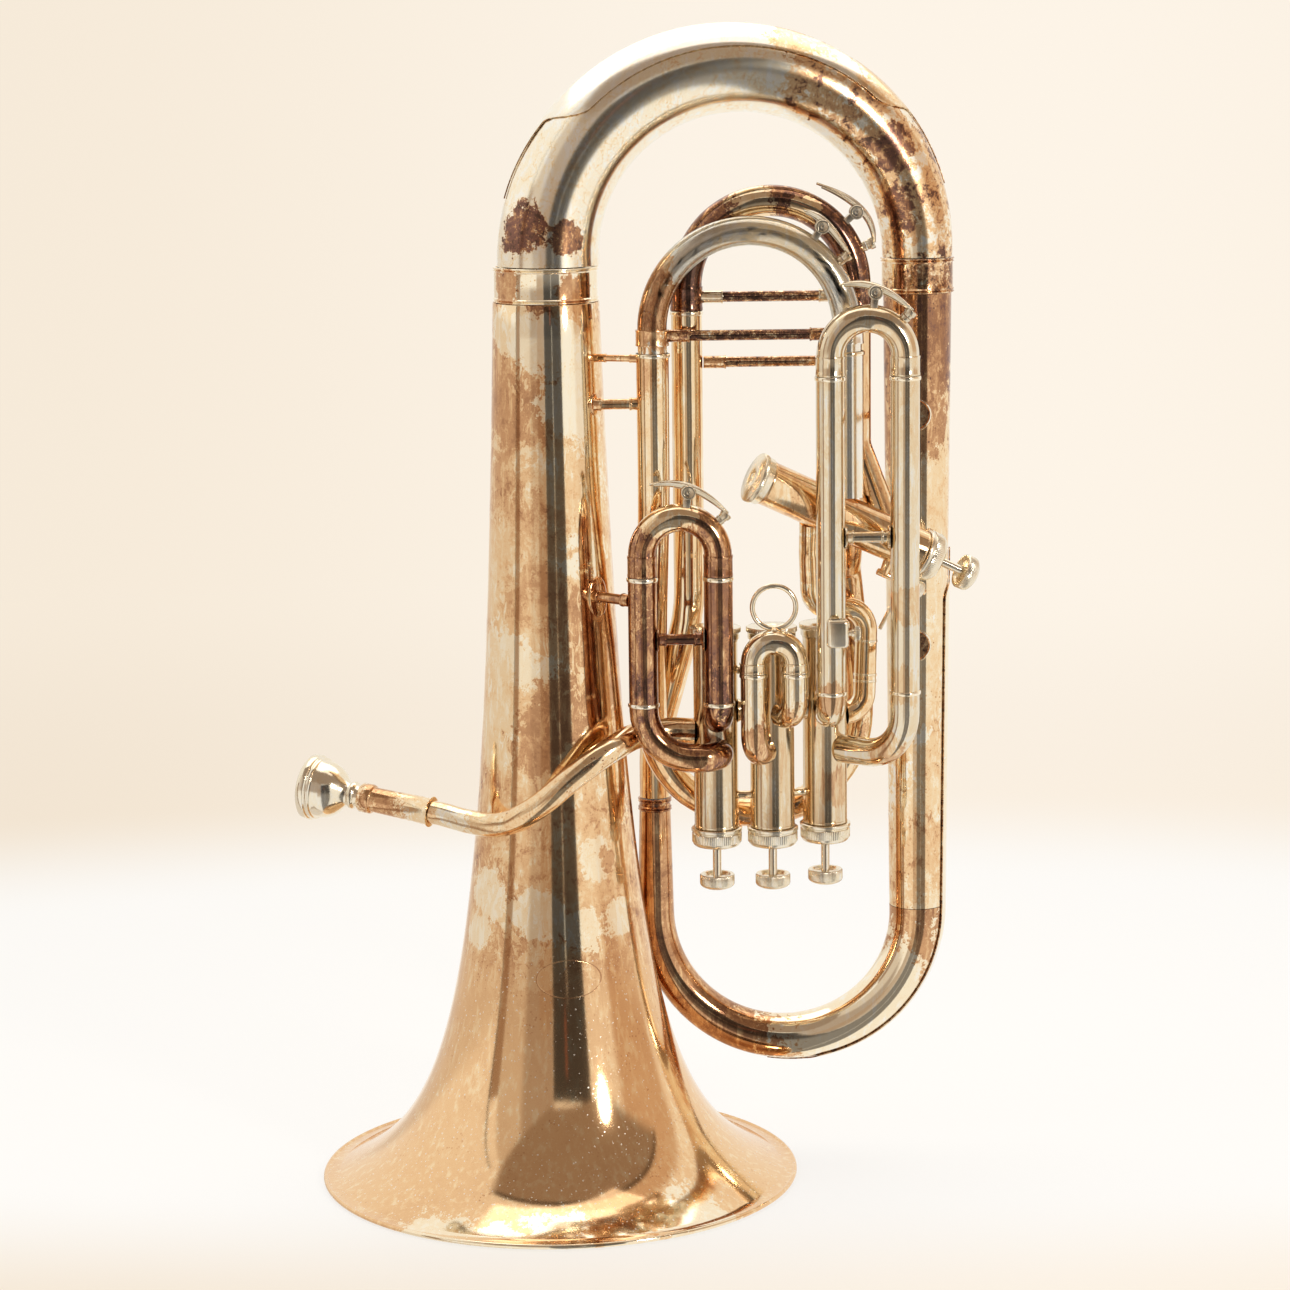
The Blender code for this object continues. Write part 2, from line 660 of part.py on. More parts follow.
def casing(n, add=(), extra_cut=()):
    start, up, length = VALVES[n - 1]
    shape = [(0, -NECK_H), (NECK_R, -NECK_H), (NECK_R, 0), (CASING_R, 0), (CASING_R, length),
             (NECK_R, length), (NECK_R, length + NECK_H), (0, length + NECK_H)]
    hole = place(turned([(0, -0.02), (PISTON_R + RUN, -0.02), (PISTON_R + RUN, length + 0.02),
                         (0, length + 0.02)], VALVE_SIDES), start, up)
    colour = SILVER if n != 4 else GOLDEN
    node(f"valve_casing_{n}", place(turned(shape, VALVE_SIDES), start, up), colour, 0.2, origin=start,
         add=add, cut=list(extra_cut) + [helper(f"casing_bore_{n}", hole)])


def cap(name, start, up, height, stem_hole):
    """Screw cap over the casing's neck, open towards the casing, along up from its outer face."""
    mouth = height - GAP
    floor = height - NECK_H - 2 * GAP
    neck = NECK_R + GAP
    knurl = 0.0009
    if stem_hole:
        hole = STEM_R + PIN_PLAY
        shape = [(hole, 0), (CAP_R - 0.0022, 0), (CAP_R - 0.0006, 0.0012), (CAP_R, 0.0030),
                 (CAP_R, mouth - knurl), (CAP_R - 0.0004, mouth), (neck, mouth), (neck, floor), (hole, floor)]
    else:
        shape = [(0, 0.0009), (CAP_R - 0.0030, 0), (CAP_R, 0.0006), (CAP_R, 0.0028),
                 (CAP_R - 0.0008, 0.0034), (CAP_R - 0.0008, mouth), (neck, mouth), (neck, floor), (0, floor)]
    return node(name, place(turned(shape, VALVE_SIDES), start, up), NICKEL, 0.28, origin=start)


def helix(start, up, length, n):
    """Round wire wound in open curls between two faces."""
    steps = 8
    count = int(SPRING_CURLS * steps)
    rise = length - 2 * SPRING_WIRE_R - 4 * GAP
    pts = []
    for k in range(count + 1):
        a = 2 * math.pi * k / steps
        pts.append(Vector((SPRING_R * math.cos(a), SPRING_R * math.sin(a),
                           SPRING_WIRE_R + 2 * GAP + rise * k / count)))
    bm = tube(pts, SPRING_WIRE_R, sides=4)
    least = min((a - b).length - 2 * SPRING_WIRE_R
                for i, a in enumerate(pts) for b in pts[i + steps - 2:])
    print(f"spring {n}: least gap between curls {least * 1000:.2f} mm")
    return place(bm, start, up)


for n, (start, up, length) in enumerate(VALVES, start=1):
    cap(f"top_cap_{n}", start - up * CAP_H, up, CAP_H, True)
    far = start + up * (length + BOTTOM_CAP_H)
    cap(f"bottom_cap_{n}", far, -up, BOTTOM_CAP_H, False)
    # Button, stem and piston move together, the piston against the top cap at rest
    face = -(CAP_H - (CAP_H - NECK_H - 2 * GAP))        # cap floor, seen from the casing's start
    low = face + GAP
    piston = [(0, low), (PISTON_R, low), (PISTON_R, low + PISTON_L), (RECESS_R, low + PISTON_L),
              (RECESS_R, low + PISTON_L - RECESS_H), (0, low + PISTON_L - RECESS_H)]
    node(f"piston_{n}", place(turned(piston, VALVE_SIDES), start, up), NICKEL, 0.3, origin=start)
    top = -CAP_H - STROKE - FELT
    button = [(0, low - GAP), (STEM_R, low - GAP), (STEM_R, top - 0.0016), (BUTTON_R - 0.0022, top - 0.0016),
              (BUTTON_R - 0.0010, top), (BUTTON_R, top - 0.0012), (BUTTON_R, top - BUTTON_H + 0.0030),
              (BUTTON_R - 0.0016, top - BUTTON_H + 0.0010), (BUTTON_R - 0.0045, top - BUTTON_H),
              (0, top - BUTTON_H)]
    node(f"finger_button_{n}", place(turned(button, VALVE_SIDES), start, up), NICKEL, 0.3, origin=start)
    coil_from = start + up * (low + PISTON_L - RECESS_H)
    coil_len = length + NECK_H + GAP - (low + PISTON_L - RECESS_H)
    node(f"valve_spring_{n}", helix(coil_from, up, coil_len, n), NICKEL, 0.35, origin=coil_from)

# Knuckles and stays between the three upright casings, carried by the middle one
middle = P(VALVE_2_X, VALVE_Y, 0)
left = P(VALVE_1_X, VALVE_Y, 0)
right = P(VALVE_3_X, VALVE_3_Y, 0)
stubs = []
for side, other in (("left", left), ("right", right)):
    for label, z, r in (("knuckle", KNUCKLE_Z, KNUCKLE_R), ("low_stay", STAY_LOW_Z, STAY_R),
                        ("high_stay", STAY_HIGH_Z, STAY_R)):
        a = Vector((middle.x, middle.y, z))
        b = Vector((other.x, other.y, z))
        stubs.append(helper(f"{label}_{side}", tube([a, b], r, sides=10)))
casing(1)
casing(2, add=stubs, extra_cut=[casing_clear[0], casing_clear[2]])
casing(3)

# Slides 1 to 3
def sleeve(name, pts, mouth_r, leg_r, colour, valve=None, end_r=None, leg_in=LEG_IN, bands=(), add=(),
           extra_cut=()):
    """Outer slide tube with a ring at its mouth and a bore for the moving leg."""
    ring = [(0.0, RING_H, BAND)]
    body = tube(pts, mouth_r, end_r, bands=ring + list(bands))
    seat = (pts[1] - pts[0]).normalized()
    straight = min((pts[1] - pts[0]).length, leg_in + 0.002)
    cuts = [bore(name + "_seat", [pts[0], pts[0] + seat * straight], leg_r + SLIDE_PLAY, behind=0.0),
            bore(name + "_air", pts, leg_r * 0.85, sides=AIR_SIDES, behind=0.0 if valve else 0.002)]
    cuts += ([casing_clear[valve - 1]] if valve else []) + list(extra_cut)
    return node(name, body, colour, 0.18, add=add, cut=cuts)


def slide(name, pts, leg_r, bow_r, leg_len, ferrule_h, sleeve_r, colour, add=(), rest_out=0.0):
    """Moving slide: two inner legs, a ferrule on each and the bow."""
    total = route_length(pts)
    f1 = leg_len + rest_out
    bands = [(f1, f1 + ferrule_h, sleeve_r - leg_r),
             (f1 + ferrule_h, total - f1 - ferrule_h, bow_r - leg_r),
             (total - f1 - ferrule_h, total - f1, sleeve_r - leg_r)]
    body = tube(pts, leg_r, bands=bands)
    return node(name, body, colour, 0.16, add=add,
                cut=[bore(name + "_air", pts, leg_r * 0.85, sides=AIR_SIDES)])


# Slide 1
s1_left = rounded_route([P(S1_LEFT_X, FRONT_Y, S1_SEAT_Z), P(S1_LEFT_X, FRONT_Y, S1_LEFT_Z),
                         P(VALVE_1_X + 0.0025, FRONT_Y, S1_LEFT_Z), P(VALVE_1_X, VALVE_Y, S1_LEFT_Z)],
                        [S1_BEND_R, S1_CURL_R], 4)
s1_right = rounded_route([P(S1_RIGHT_X, FRONT_Y, S1_SEAT_Z), P(S1_RIGHT_X, FRONT_Y, S1_RIGHT_Z),
                          P(VALVE_1_X, VALVE_Y, S1_RIGHT_Z)], [ELBOW_R], 4)
brace_1 = rod("slide_1_brace", P(S1_LEFT_X, FRONT_Y, S1_BRACE_Z),
              P(S1_RIGHT_X - SLEEVE_R - GAP, FRONT_Y, S1_BRACE_Z), ROD_R,
              pads=[SLEEVE_R + 0.0004, S1_RIGHT_X - S1_LEFT_X - SLEEVE_R - PAD_T])
bell_stay_1 = rod("bell_stay_low", P(0.0150, -0.0185, BELL_STAY_LOW_Z), P(S1_LEFT_X, FRONT_Y, BELL_STAY_LOW_Z),
                  ROD_R)
s1_band = S1_SEAT_Z - S1_BAND_Z
sleeve("slide_1_outer_left", s1_left, SLEEVE_R, LEG_R, COPPER, valve=1,
       bands=[(s1_band, s1_band + BAND_H, BAND)], add=[brace_1, bell_stay_1], extra_cut=[bell_clear])
sleeve("slide_1_outer_right", s1_right, SLEEVE_R, LEG_R, COPPER, valve=1,
       bands=[(s1_band, s1_band + BAND_H, BAND)])

# Slide 2
s2_left = rounded_route([P(S2_LEFT_X, FRONT_Y, S2_SEAT_Z), P(S2_LEFT_X, FRONT_Y, S2_LEFT_Z),
                         P(VALVE_2_X, VALVE_Y, S2_LEFT_Z)], [ELBOW_R], 4)
s2_right = rounded_route([P(S2_RIGHT_X, FRONT_Y, S2_SEAT_Z), P(S2_RIGHT_X, FRONT_Y, S2_RIGHT_Z),
                          P(VALVE_2_X, VALVE_Y, S2_RIGHT_Z)], [ELBOW_R], 4)
sleeve("slide_2_outer_left", s2_left, SLEEVE_2_R, LEG_2_R, SILVER, valve=2, leg_in=LEG_2_IN)
sleeve("slide_2_outer_right", s2_right, SLEEVE_2_R, LEG_2_R, SILVER, valve=2, leg_in=LEG_2_IN)

# Slide 3
s3_left = rounded_route([P(S3_LEFT_X, FRONT_Y, S3_SEAT_Z), P(S3_LEFT_X, FRONT_Y, S3_LEFT_Z),
                         P(VALVE_3_X, VALVE_3_Y, S3_LEFT_Z)], [ELBOW_R], 4)
s3_right = rounded_route([P(S3_RIGHT_X, FRONT_Y, S3_SEAT_Z), P(S3_RIGHT_X, FRONT_Y, S3_RIGHT_Z),
                          P(VALVE_3_X, VALVE_3_Y, S3_RIGHT_Z)], [S3_BEND_R], 4)
brace_3 = rod("slide_3_brace", P(S3_LEFT_X, FRONT_Y, S3_BRACE_Z),
              P(S3_RIGHT_X - SLEEVE_R - GAP, FRONT_Y, S3_BRACE_Z), ROD_R,
              pads=[SLEEVE_R + 0.0004, S3_RIGHT_X - S3_LEFT_X - SLEEVE_R - PAD_T])
s3_band = S3_SEAT_Z - S3_BAND_Z
sleeve("slide_3_outer_left", s3_left, SLEEVE_R, LEG_R, SILVER, valve=3,
       bands=[(s3_band, s3_band + BAND_H, BAND)], add=[brace_3])
sleeve("slide_3_outer_right", s3_right, SLEEVE_R, LEG_R, SILVER, valve=3,
       bands=[(s3_band, s3_band + BAND_H, BAND)])


def u_route(left_x, right_x, y, seat_z, leg_in, lift, steps=4):
    """Two straight legs joined by a half circle."""
    r = (right_x - left_x) / 2
    low = seat_z - leg_in
    top = seat_z + lift + r
    return rounded_route([P(left_x, y, low), P(left_x, y, top), P(right_x, y, top), P(right_x, y, low)],
                         [r, r], steps)


def key_post(name, pivot, inward, depth):
    """Saddle block under the hinge barrel with ears at both sides, sunk into the bow."""
    across = Vector((0, 1, 0))
    along = across.cross(inward).normalized()
    wide = BARREL_L / 2 + GAP + EAR_T
    bm = bmesh.new()
    inner_w = BARREL_L / 2 + GAP
    floor = BARREL_R + GAP
    outline = [(-wide, -0.0012), (-inner_w, -0.0012), (-inner_w, floor), (inner_w, floor),
               (inner_w, -0.0012), (wide, -0.0012), (wide, depth), (-wide, depth)]
    half = 0.0019
    rings = []
    for s in (-half, half):
        rings.append([bm.verts.new(pivot + across * a + inward * b + along * s) for a, b in outline])
    for k in range(len(outline)):
        n = (k + 1) % len(outline)
        bm.faces.new((rings[0][k], rings[0][n], rings[1][n], rings[1][k]))
    for ring in rings:
        bm.faces.new((ring[0], ring[1], ring[2], ring[7]))
        bm.faces.new((ring[2], ring[3], ring[6], ring[7]))
        bm.faces.new((ring[3], ring[4], ring[5], ring[6]))
    post = helper(name + "_post", bm)
    pin = helper(name + "_pin", tube([pivot - across * wide * 0.97, pivot + across * wide * 0.97], PIN_R, sides=8))
    return [post, pin]


def water_key(name, pivot, tip, end, cork_to, inward):
    """Curved lever with its hinge barrel and a cork cup at the short end."""
    across = Vector((0, 1, 0))
    lift = (tip + end) / 2
    over = pivot - inward * (BARREL_R + KEY_T * 0.35)
    bend = over * 2 - lift
    bm = bmesh.new()
    rings = []
    steps = 8
    for k in range(steps + 1):
        t = k / steps
        c = tip * (1 - t) ** 2 + bend * 2 * t * (1 - t) + end * t * t
        d = (bend - tip) * (1 - t) + (end - bend) * t
        d.normalize()
        up = across.cross(d).normalized()
        w = KEY_W * (0.30 + 0.70 * min(1.0, t * 1.8)) / 2
        h = KEY_T * (0.5 + 0.5 * min(1.0, t * 3)) / 2
        rings.append([bm.verts.new(c + across * a * w + up * b * h)
                      for a, b in ((-1, -1), (1, -1), (1, 1), (-1, 1))])
    for a, b in zip(rings, rings[1:]):
        for k in range(4):
            n = (k + 1) % 4
            bm.faces.new((a[k], a[n], b[n], b[k]))
    bm.faces.new(rings[0][::-1])
    bm.faces.new(rings[-1])
    barrel = helper(name + "_barrel", tube([pivot - across * BARREL_L / 2, pivot + across * BARREL_L / 2],
                                           BARREL_R, sides=8))
    reach = (cork_to - end)
    back = end - reach.normalized() * 0.0004
    cork = helper(name + "_cork", tube([back, cork_to], CORK_R, sides=8))
    eye = tube([pivot - across * 0.006, pivot + across * 0.006], PIN_R + PIN_PLAY, sides=8)
    hole = helper(name + "_eye", eye)
    return node(name, bm, NICKEL, 0.3, origin=pivot, add=[barrel, cork], cut=[hole])


def key_set(name, arc_centre, arc_r, tube_r, turn):
    """Places one water key on a bow."""
    hinge_turn, cork_turn, reach = turn

    def on_bow(angle, radius):
        a = math.radians(angle)
        return arc_centre + Vector((math.sin(a), 0, math.cos(a))) * radius

    skin = arc_r + tube_r
    pivot = on_bow(hinge_turn, skin + KEY_RISE)
    inward = (arc_centre - pivot).normalized()
    posts = key_post(name, pivot, inward, KEY_RISE + tube_r * 0.6)
    vent = helper(name + "_vent", tube([on_bow(cork_turn, arc_r + tube_r * 0.6), on_bow(cork_turn, skin + VENT_H)],
                                       CORK_R * 0.8, sides=8))
    cork_face = on_bow(cork_turn, skin + VENT_H + GAP)
    cork_back = on_bow(cork_turn, skin + VENT_H + GAP + CORK_L)
    tip = on_bow(hinge_turn - reach, skin + KEY_RISE + LEVER_RISE)
    return pivot, posts + [vent], tip, cork_back, cork_face, inward


# Slide 1, moving
s1_lift = S1_FERRULE_H
s1_r = (S1_RIGHT_X - S1_LEFT_X) / 2
s1_pts = u_route(S1_LEFT_X, S1_RIGHT_X, FRONT_Y, S1_SEAT_Z + GAP, LEG_IN, s1_lift)
centre_1 = P((S1_LEFT_X + S1_RIGHT_X) / 2, FRONT_Y, S1_SEAT_Z + GAP + s1_lift)
piv, posts, tip, back, face, inward = key_set("water_key_1", centre_1, s1_r, BOW_R, KEY_1_TURN)
slide("slide_1", s1_pts, LEG_R, BOW_R, LEG_IN, S1_FERRULE_H, SLEEVE_R, COPPER, add=posts)
water_key("water_key_1", piv, tip, back, face, inward)

# Slide 2, moving, with its finger ring
s2_r = (S2_RIGHT_X - S2_LEFT_X) / 2
s2_pts = u_route(S2_LEFT_X, S2_RIGHT_X, FRONT_Y, S2_SEAT_Z + GAP, LEG_2_IN, S2_FERRULE_H)
ring_z = S2_SEAT_Z + S2_FERRULE_H + s2_r + SLEEVE_2_R + RING_R + RING_WIRE_R * 0.4
ring_c = P((S2_LEFT_X + S2_RIGHT_X) / 2, FRONT_Y, ring_z)
bm = bmesh.new()
rings = []
for k in range(RING_STEPS):
    a = 2 * math.pi * k / RING_STEPS
    out = Vector((math.cos(a), 0, math.sin(a)))
    rings.append([bm.verts.new(ring_c + out * (RING_R + RING_WIRE_R * math.cos(b))
                               + Vector((0, 1, 0)) * RING_WIRE_R * math.sin(b))
                  for b in (2 * math.pi * j / 6 for j in range(6))])
for a, b in zip(rings, rings[1:] + rings[:1]):
    for j in range(6):
        n = (j + 1) % 6
        bm.faces.new((a[j], a[n], b[n], b[j]))
pull_ring = helper("pull_ring", bm)
slide("slide_2", s2_pts, LEG_2_R, SLEEVE_2_R - 0.0002, LEG_2_IN, S2_FERRULE_H, SLEEVE_2_R, SILVER, add=[pull_ring])

# Slide 3, moving
s3_r = (S3_RIGHT_X - S3_LEFT_X) / 2
s3_pts = u_route(S3_LEFT_X, S3_RIGHT_X, FRONT_Y, S3_SEAT_Z + GAP, LEG_IN, S3_FERRULE_H)
centre_3 = P((S3_LEFT_X + S3_RIGHT_X) / 2, FRONT_Y, S3_SEAT_Z + GAP + S3_FERRULE_H)
piv, posts, tip, back, face, inward = key_set("water_key_3", centre_3, s3_r, BOW_R, KEY_3_TURN)
slide("slide_3", s3_pts, LEG_R, BOW_R, LEG_IN, S3_FERRULE_H, SLEEVE_R, SILVER, add=posts)
water_key("water_key_3", piv, tip, back, face, inward)

# Fourth valve's slide and loop
s4_seat = S4_SEAT_Z
s4_r = (S4_RIGHT_X - S4_LEFT_X) / 2
low_4 = s4_seat - LEG_IN
top_4 = s4_seat + GAP + S4_OUT + S4_FERRULE_H + s4_r
s4_pts = rounded_route([P(S4_LEFT_X, S4_Y, low_4), P(S4_LEFT_X, S4_Y, top_4),
                        P(S4_RIGHT_X, S4_Y, top_4), P(S4_RIGHT_X, S4_Y, low_4)], [s4_r, s4_r], 5)
rod_4_z = s4_seat + GAP + S4_OUT + S4_FERRULE_H * 0.6
cross_4 = rod("slide_4_rod", P(S4_LEFT_X, S4_Y, rod_4_z), P(S4_RIGHT_X, S4_Y, rod_4_z), ROD_R)
centre_4 = P((S4_LEFT_X + S4_RIGHT_X) / 2, S4_Y, top_4 - s4_r)

valve_4_mid = P(*VALVE_4_START)


def on_valve_4(x):
    """Point of the fourth valve's axis at a given x from the bell's axis."""
    t = (x - VALVE_4_START[0]) / axis_4.x
    return valve_4_mid + axis_4 * t


s4_right = [P(S4_RIGHT_X, S4_Y, s4_seat), P(S4_RIGHT_X, S4_Y, S4_KNEE_Z), on_valve_4(S4_RIGHT_X)]
sleeve("slide_4_outer_right", s4_right, SLEEVE_4_R, LEG_4_R, SILVER, valve=4, leg_in=LEG_IN + S4_OUT)

loop = rounded_route([P(S4_LEFT_X, S4_Y, s4_seat), P(S4_LEFT_X, S4_Y, LOOP_KNEE_Z),
                      P(LOOP_LEFT_X, LOOP_LEFT_Y, LOOP_JOG_Z), P(LOOP_LEFT_X, LOOP_LEFT_Y + LOOP_BACK, LOOP_Z),
                      P(RISER_X, RISER_Y, LOOP_Z), P(RISER_X + RISER_OUT, RISER_Y, RISER_KNEE_Z),
                      P(RISER_TOP_X, RISER_Y, RISER_TOP_Z), on_valve_4(RISER_TOP_X)],
                     [LOOP_KNEE_R, LOOP_KNEE_R, LOOP_BEND_R, LOOP_BEND_R, RISER_KNEE_R, RISER_TOP_R], 4)
bell_stay_2 = rod("bell_stay_mid", P(0.0180, -0.0190, BELL_STAY_MID_Z), P(S4_LEFT_X, S4_Y, BELL_STAY_MID_Z),
                  ROD_R)
bell_stay_3 = rod("bell_stay_top", P(0.0200, -0.0080, BELL_STAY_TOP_Z), P(S4_LEFT_X, S4_Y, BELL_STAY_TOP_Z),
                  THIN_ROD_R)
sleeve("fourth_valve_loop", loop, SLEEVE_4_R, LEG_4_R, GOLDEN, valve=4, end_r=LOOP_END_R,
       leg_in=LEG_IN + S4_OUT, add=[bell_stay_2, bell_stay_3], extra_cut=[bell_clear])

# Main tuning slide
m_seat = M_SEAT_Z
m_r = (M_RIGHT_X - M_LEFT_X) / 2
low_m = m_seat - LEG_IN
top_m = m_seat + GAP + M_FERRULE_H + m_r
m_pts = rounded_route([P(M_LEFT_X, M_Y, low_m), P(M_LEFT_X, M_Y, top_m),
                       P(M_RIGHT_X, M_Y, top_m), P(M_RIGHT_X, M_Y, low_m)], [m_r, m_r], 5)
rod_m_z = m_seat + GAP + M_FERRULE_H * 0.55
cross_m = rod("main_slide_rod", P(M_LEFT_X, M_Y, rod_m_z), P(M_RIGHT_X, M_Y, rod_m_z), ROD_R)
centre_m = P((M_LEFT_X + M_RIGHT_X) / 2, M_Y, top_m - m_r)
piv_m, posts_m, tip_m, back_m, face_m, in_m = key_set("water_key_main", centre_m, m_r, MAIN_SLEEVE_R, KEY_MAIN_TURN)
slide("main_tuning_slide", m_pts, MAIN_LEG_R, MAIN_SLEEVE_R, LEG_IN, M_FERRULE_H, MAIN_SLEEVE_R + 0.0003,
      COPPER, add=[cross_m] + posts_m)
water_key("water_key_main", piv_m, tip_m, back_m, face_m, in_m)

piv_4, posts_4, tip_4, back_4, face_4, in_4 = key_set("water_key_4", centre_4, s4_r, LEG_4_R, KEY_4_TURN)
slide("slide_4", s4_pts, LEG_4_R, LEG_4_R, LEG_IN, S4_FERRULE_H, SLEEVE_4_R, SILVER, add=[cross_4] + posts_4,
      rest_out=S4_OUT)
water_key("water_key_4", piv_4, tip_4, back_4, face_4, in_4)

m_right = rounded_route([P(M_RIGHT_X, M_Y, m_seat), P(M_RIGHT_X, M_Y, M_KNEE_Z), on_valve_4(M_VALVE_X)],
                        [M_KNEE_R], 4)
fixed_rod = rod("main_fixed_rod", P(M_RIGHT_X, M_Y, MAIN_ROD_Z),
                P(M_LEFT_X + MAIN_SLEEVE_R + GAP + 0.0002, M_Y, MAIN_ROD_Z), ROD_R)
sleeve("main_slide_outer_right", m_right, MAIN_SLEEVE_R, MAIN_LEG_R, GOLDEN, valve=4, add=[fixed_rod])

inner_pts = rounded_route([P(M_LEFT_X, M_Y, m_seat), P(M_LEFT_X, M_Y, INNER_KNEE_Z),
                           P(INNER_X, BACK_Y, INNER_JOG_Z),
                           P(INNER_X, BACK_Y, BOTTOM_TOP_Z + INNER_FERRULE_H + GAP)],
                          [INNER_KNEE_R, INNER_JOG_R], 4)
sleeve("inner_branch", inner_pts, MAIN_SLEEVE_R, MAIN_LEG_R, GOLDEN)

# Crossover from valve 3 to valve 4
def beside_valve_3(x, y, z):
    return P(VALVE_3_X + x, VALVE_3_Y + y, z)


cross_pts = rounded_route([P(VALVE_3_X, VALVE_3_Y, CROSS_Z), beside_valve_3(*CROSS_OUT),
                           beside_valve_3(*CROSS_SIDE, CROSS_TOP_Z), beside_valve_3(*CROSS_BACK, CROSS_TOP_Z),
                           beside_valve_3(*CROSS_END), on_valve_4(VALVE_3_X + CROSS_END[0])], CROSS_BENDS, 3)
node("crossover_tube", tube(cross_pts, CROSS_R), COPPER, 0.2,
     cut=[bore("crossover_bore", cross_pts, CROSS_BORE_R, sides=AIR_SIDES), casing_clear[2], casing_clear[3]])

# Leadpipe, receiver, mouthpiece
ring_at = P(*LEAD_START)
mp_rim = P(*MP_RIM_AT)
mp_dir = (mp_rim - ring_at).normalized()
lead_pts = [ring_at] + smooth_route([ring_at - mp_dir * LEAD_LEVEL] + [P(*spot) for spot in LEAD_ROUTE]
                                    + [P(VALVE_1_X, VALVE_Y, LEAD_END_Z)], 2)
node("leadpipe", tube(lead_pts, LEAD_START_R, LEAD_END_R), COPPER, 0.2,
     cut=[bore("leadpipe_bore", lead_pts, LEAD_START_R - 0.0012, LEAD_END_R - 0.0012, sides=AIR_SIDES),
          casing_clear[0]])

rec = [(RECEIVER_R + 0.0010, GAP), (RECEIVER_R + 0.0010, 0.0022), (RECEIVER_R, 0.0022),
       (RECEIVER_R - 0.0008, RECEIVER_L * 0.82), (RECEIVER_R + 0.0006, RECEIVER_L * 0.84),
       (RECEIVER_R + 0.0006, RECEIVER_L), (SHANK_R + 0.0006 + GAP, RECEIVER_L),
       (SHANK_R - 0.0012, RECEIVER_L - 0.022), (0.0042, RECEIVER_L - 0.024), (0.0042, GAP)]
node("mouthpiece_receiver", place(turned(rec, 12), ring_at, mp_dir), SILVER, 0.2)

# Mouthpiece: rim, stepped outer edge, bowl, collar and tapered shank, drawn from the rim
mp = [(0.0, -0.0160), (0.0055, -0.0140), (0.0100, -0.0085), (MP_CUP_R, -0.0012), (MP_CUP_R + 0.0022, 0.0),
      (MP_RIM_R - 0.0016, -0.0004), (MP_RIM_R, -0.0020), (MP_RIM_R, -0.0042), (MP_RIM_R - 0.0012, -0.0048),
      (MP_RIM_R - 0.0012, -0.0066), (MP_RIM_R - 0.0032, -0.0074), (MP_RIM_R - 0.0038, -0.0110),
      (MP_RIM_R - 0.0058, -0.0180), (0.0085, -0.0245), (0.0068, -0.0270), (0.0080, -0.0290), (0.0080, -0.0308),
      (SHANK_R + 0.0006, -0.0325)]
reach = (mp_rim - ring_at).length - RECEIVER_L
mp += [(SHANK_R + 0.0004, -reach), (SHANK_R - 0.0010, -reach - SHANK_IN), (0.0030, -reach - SHANK_IN),
       (0.0020, -0.0200)]
node("mouthpiece", place(turned(mp, 12), mp_rim, mp_dir), SILVER, 0.15, origin=mp_rim)

# Lyre box with its thumb screw
lyre_front = FRONT_Y - SLEEVE_R - GAP
lyre_c = P(S3_LEFT_X + 0.0030, lyre_front - LYRE_D / 2, LYRE_Z)
bm = bmesh.new()
bmesh.ops.create_cube(bm, size=1.0)
bmesh.ops.scale(bm, verts=bm.verts, vec=(LYRE_W, LYRE_D, LYRE_H))
bmesh.ops.bevel(bm, geom=[e for e in bm.edges], offset=0.0012, segments=1, affect="EDGES")
bmesh.ops.translate(bm, verts=bm.verts, vec=lyre_c)
slot = bmesh.new()
bmesh.ops.create_cube(slot, size=1.0)
bmesh.ops.scale(slot, verts=slot.verts, vec=(LYRE_HOLE, LYRE_HOLE, LYRE_H * 2))
bmesh.ops.translate(slot, verts=slot.verts, vec=lyre_c)
thread = helper("lyre_thread", tube([lyre_c, lyre_c + Vector((LYRE_W, 0, 0))], 0.0016 + GAP, sides=12))
node("lyre_holder", bm, NICKEL, 0.3, cut=[helper("lyre_slot", slot), thread])
screw = [(0, 0), (0.0016, 0), (0.0016, 0.0045), (0.0024, 0.0048), (0.0024, 0.0062), (SCREW_R, 0.0066),
         (SCREW_R, 0.0092), (SCREW_R - 0.0008, 0.0098), (0, 0.0098)]
screw_at = lyre_c + Vector((LYRE_HOLE / 2 + GAP, 0, 0))
node("lyre_screw", place(turned(screw, 12), screw_at, Vector((1, 0, 0))), NICKEL, 0.3, origin=screw_at)

# Casing 4 and the lock beside it
cap_4_end = P(*VALVE_4_START) + axis_4 * VALVE_4_L
below = (Vector((0, 0, -1)) - axis_4 * Vector((0, 0, -1)).dot(axis_4)).normalized()
post_line = below * LOCK_OFF
post_a = cap_4_end - axis_4 * 0.030 + post_line
post_b = cap_4_end + axis_4 * 0.0020 + post_line
lug_c = cap_4_end - axis_4 * 0.026
lug = helper("lock_lug", tube([lug_c, lug_c + post_line], 0.0030, sides=8))
post = helper("lock_post", tube([post_a, post_b], LOCK_POST_R, sides=8))
casing(4, add=[lug, post])
arm_at = cap_4_end - axis_4 * 0.0135 + post_line
hub_bore = LOCK_POST_R + PIN_PLAY
hub = place(turned([(hub_bore, 0), (0.0042, 0), (0.0042, 0.0020), (0.0034, 0.0020), (0.0034, 0.0040),
                    (LOCK_HEAD_R, 0.0040), (LOCK_HEAD_R, 0.0125), (LOCK_HEAD_R - 0.0008, 0.0133),
                    (hub_bore, 0.0133)], 12), arm_at, axis_4)
arm_dir = (below + axis_4.cross(below) * 0.15).normalized()
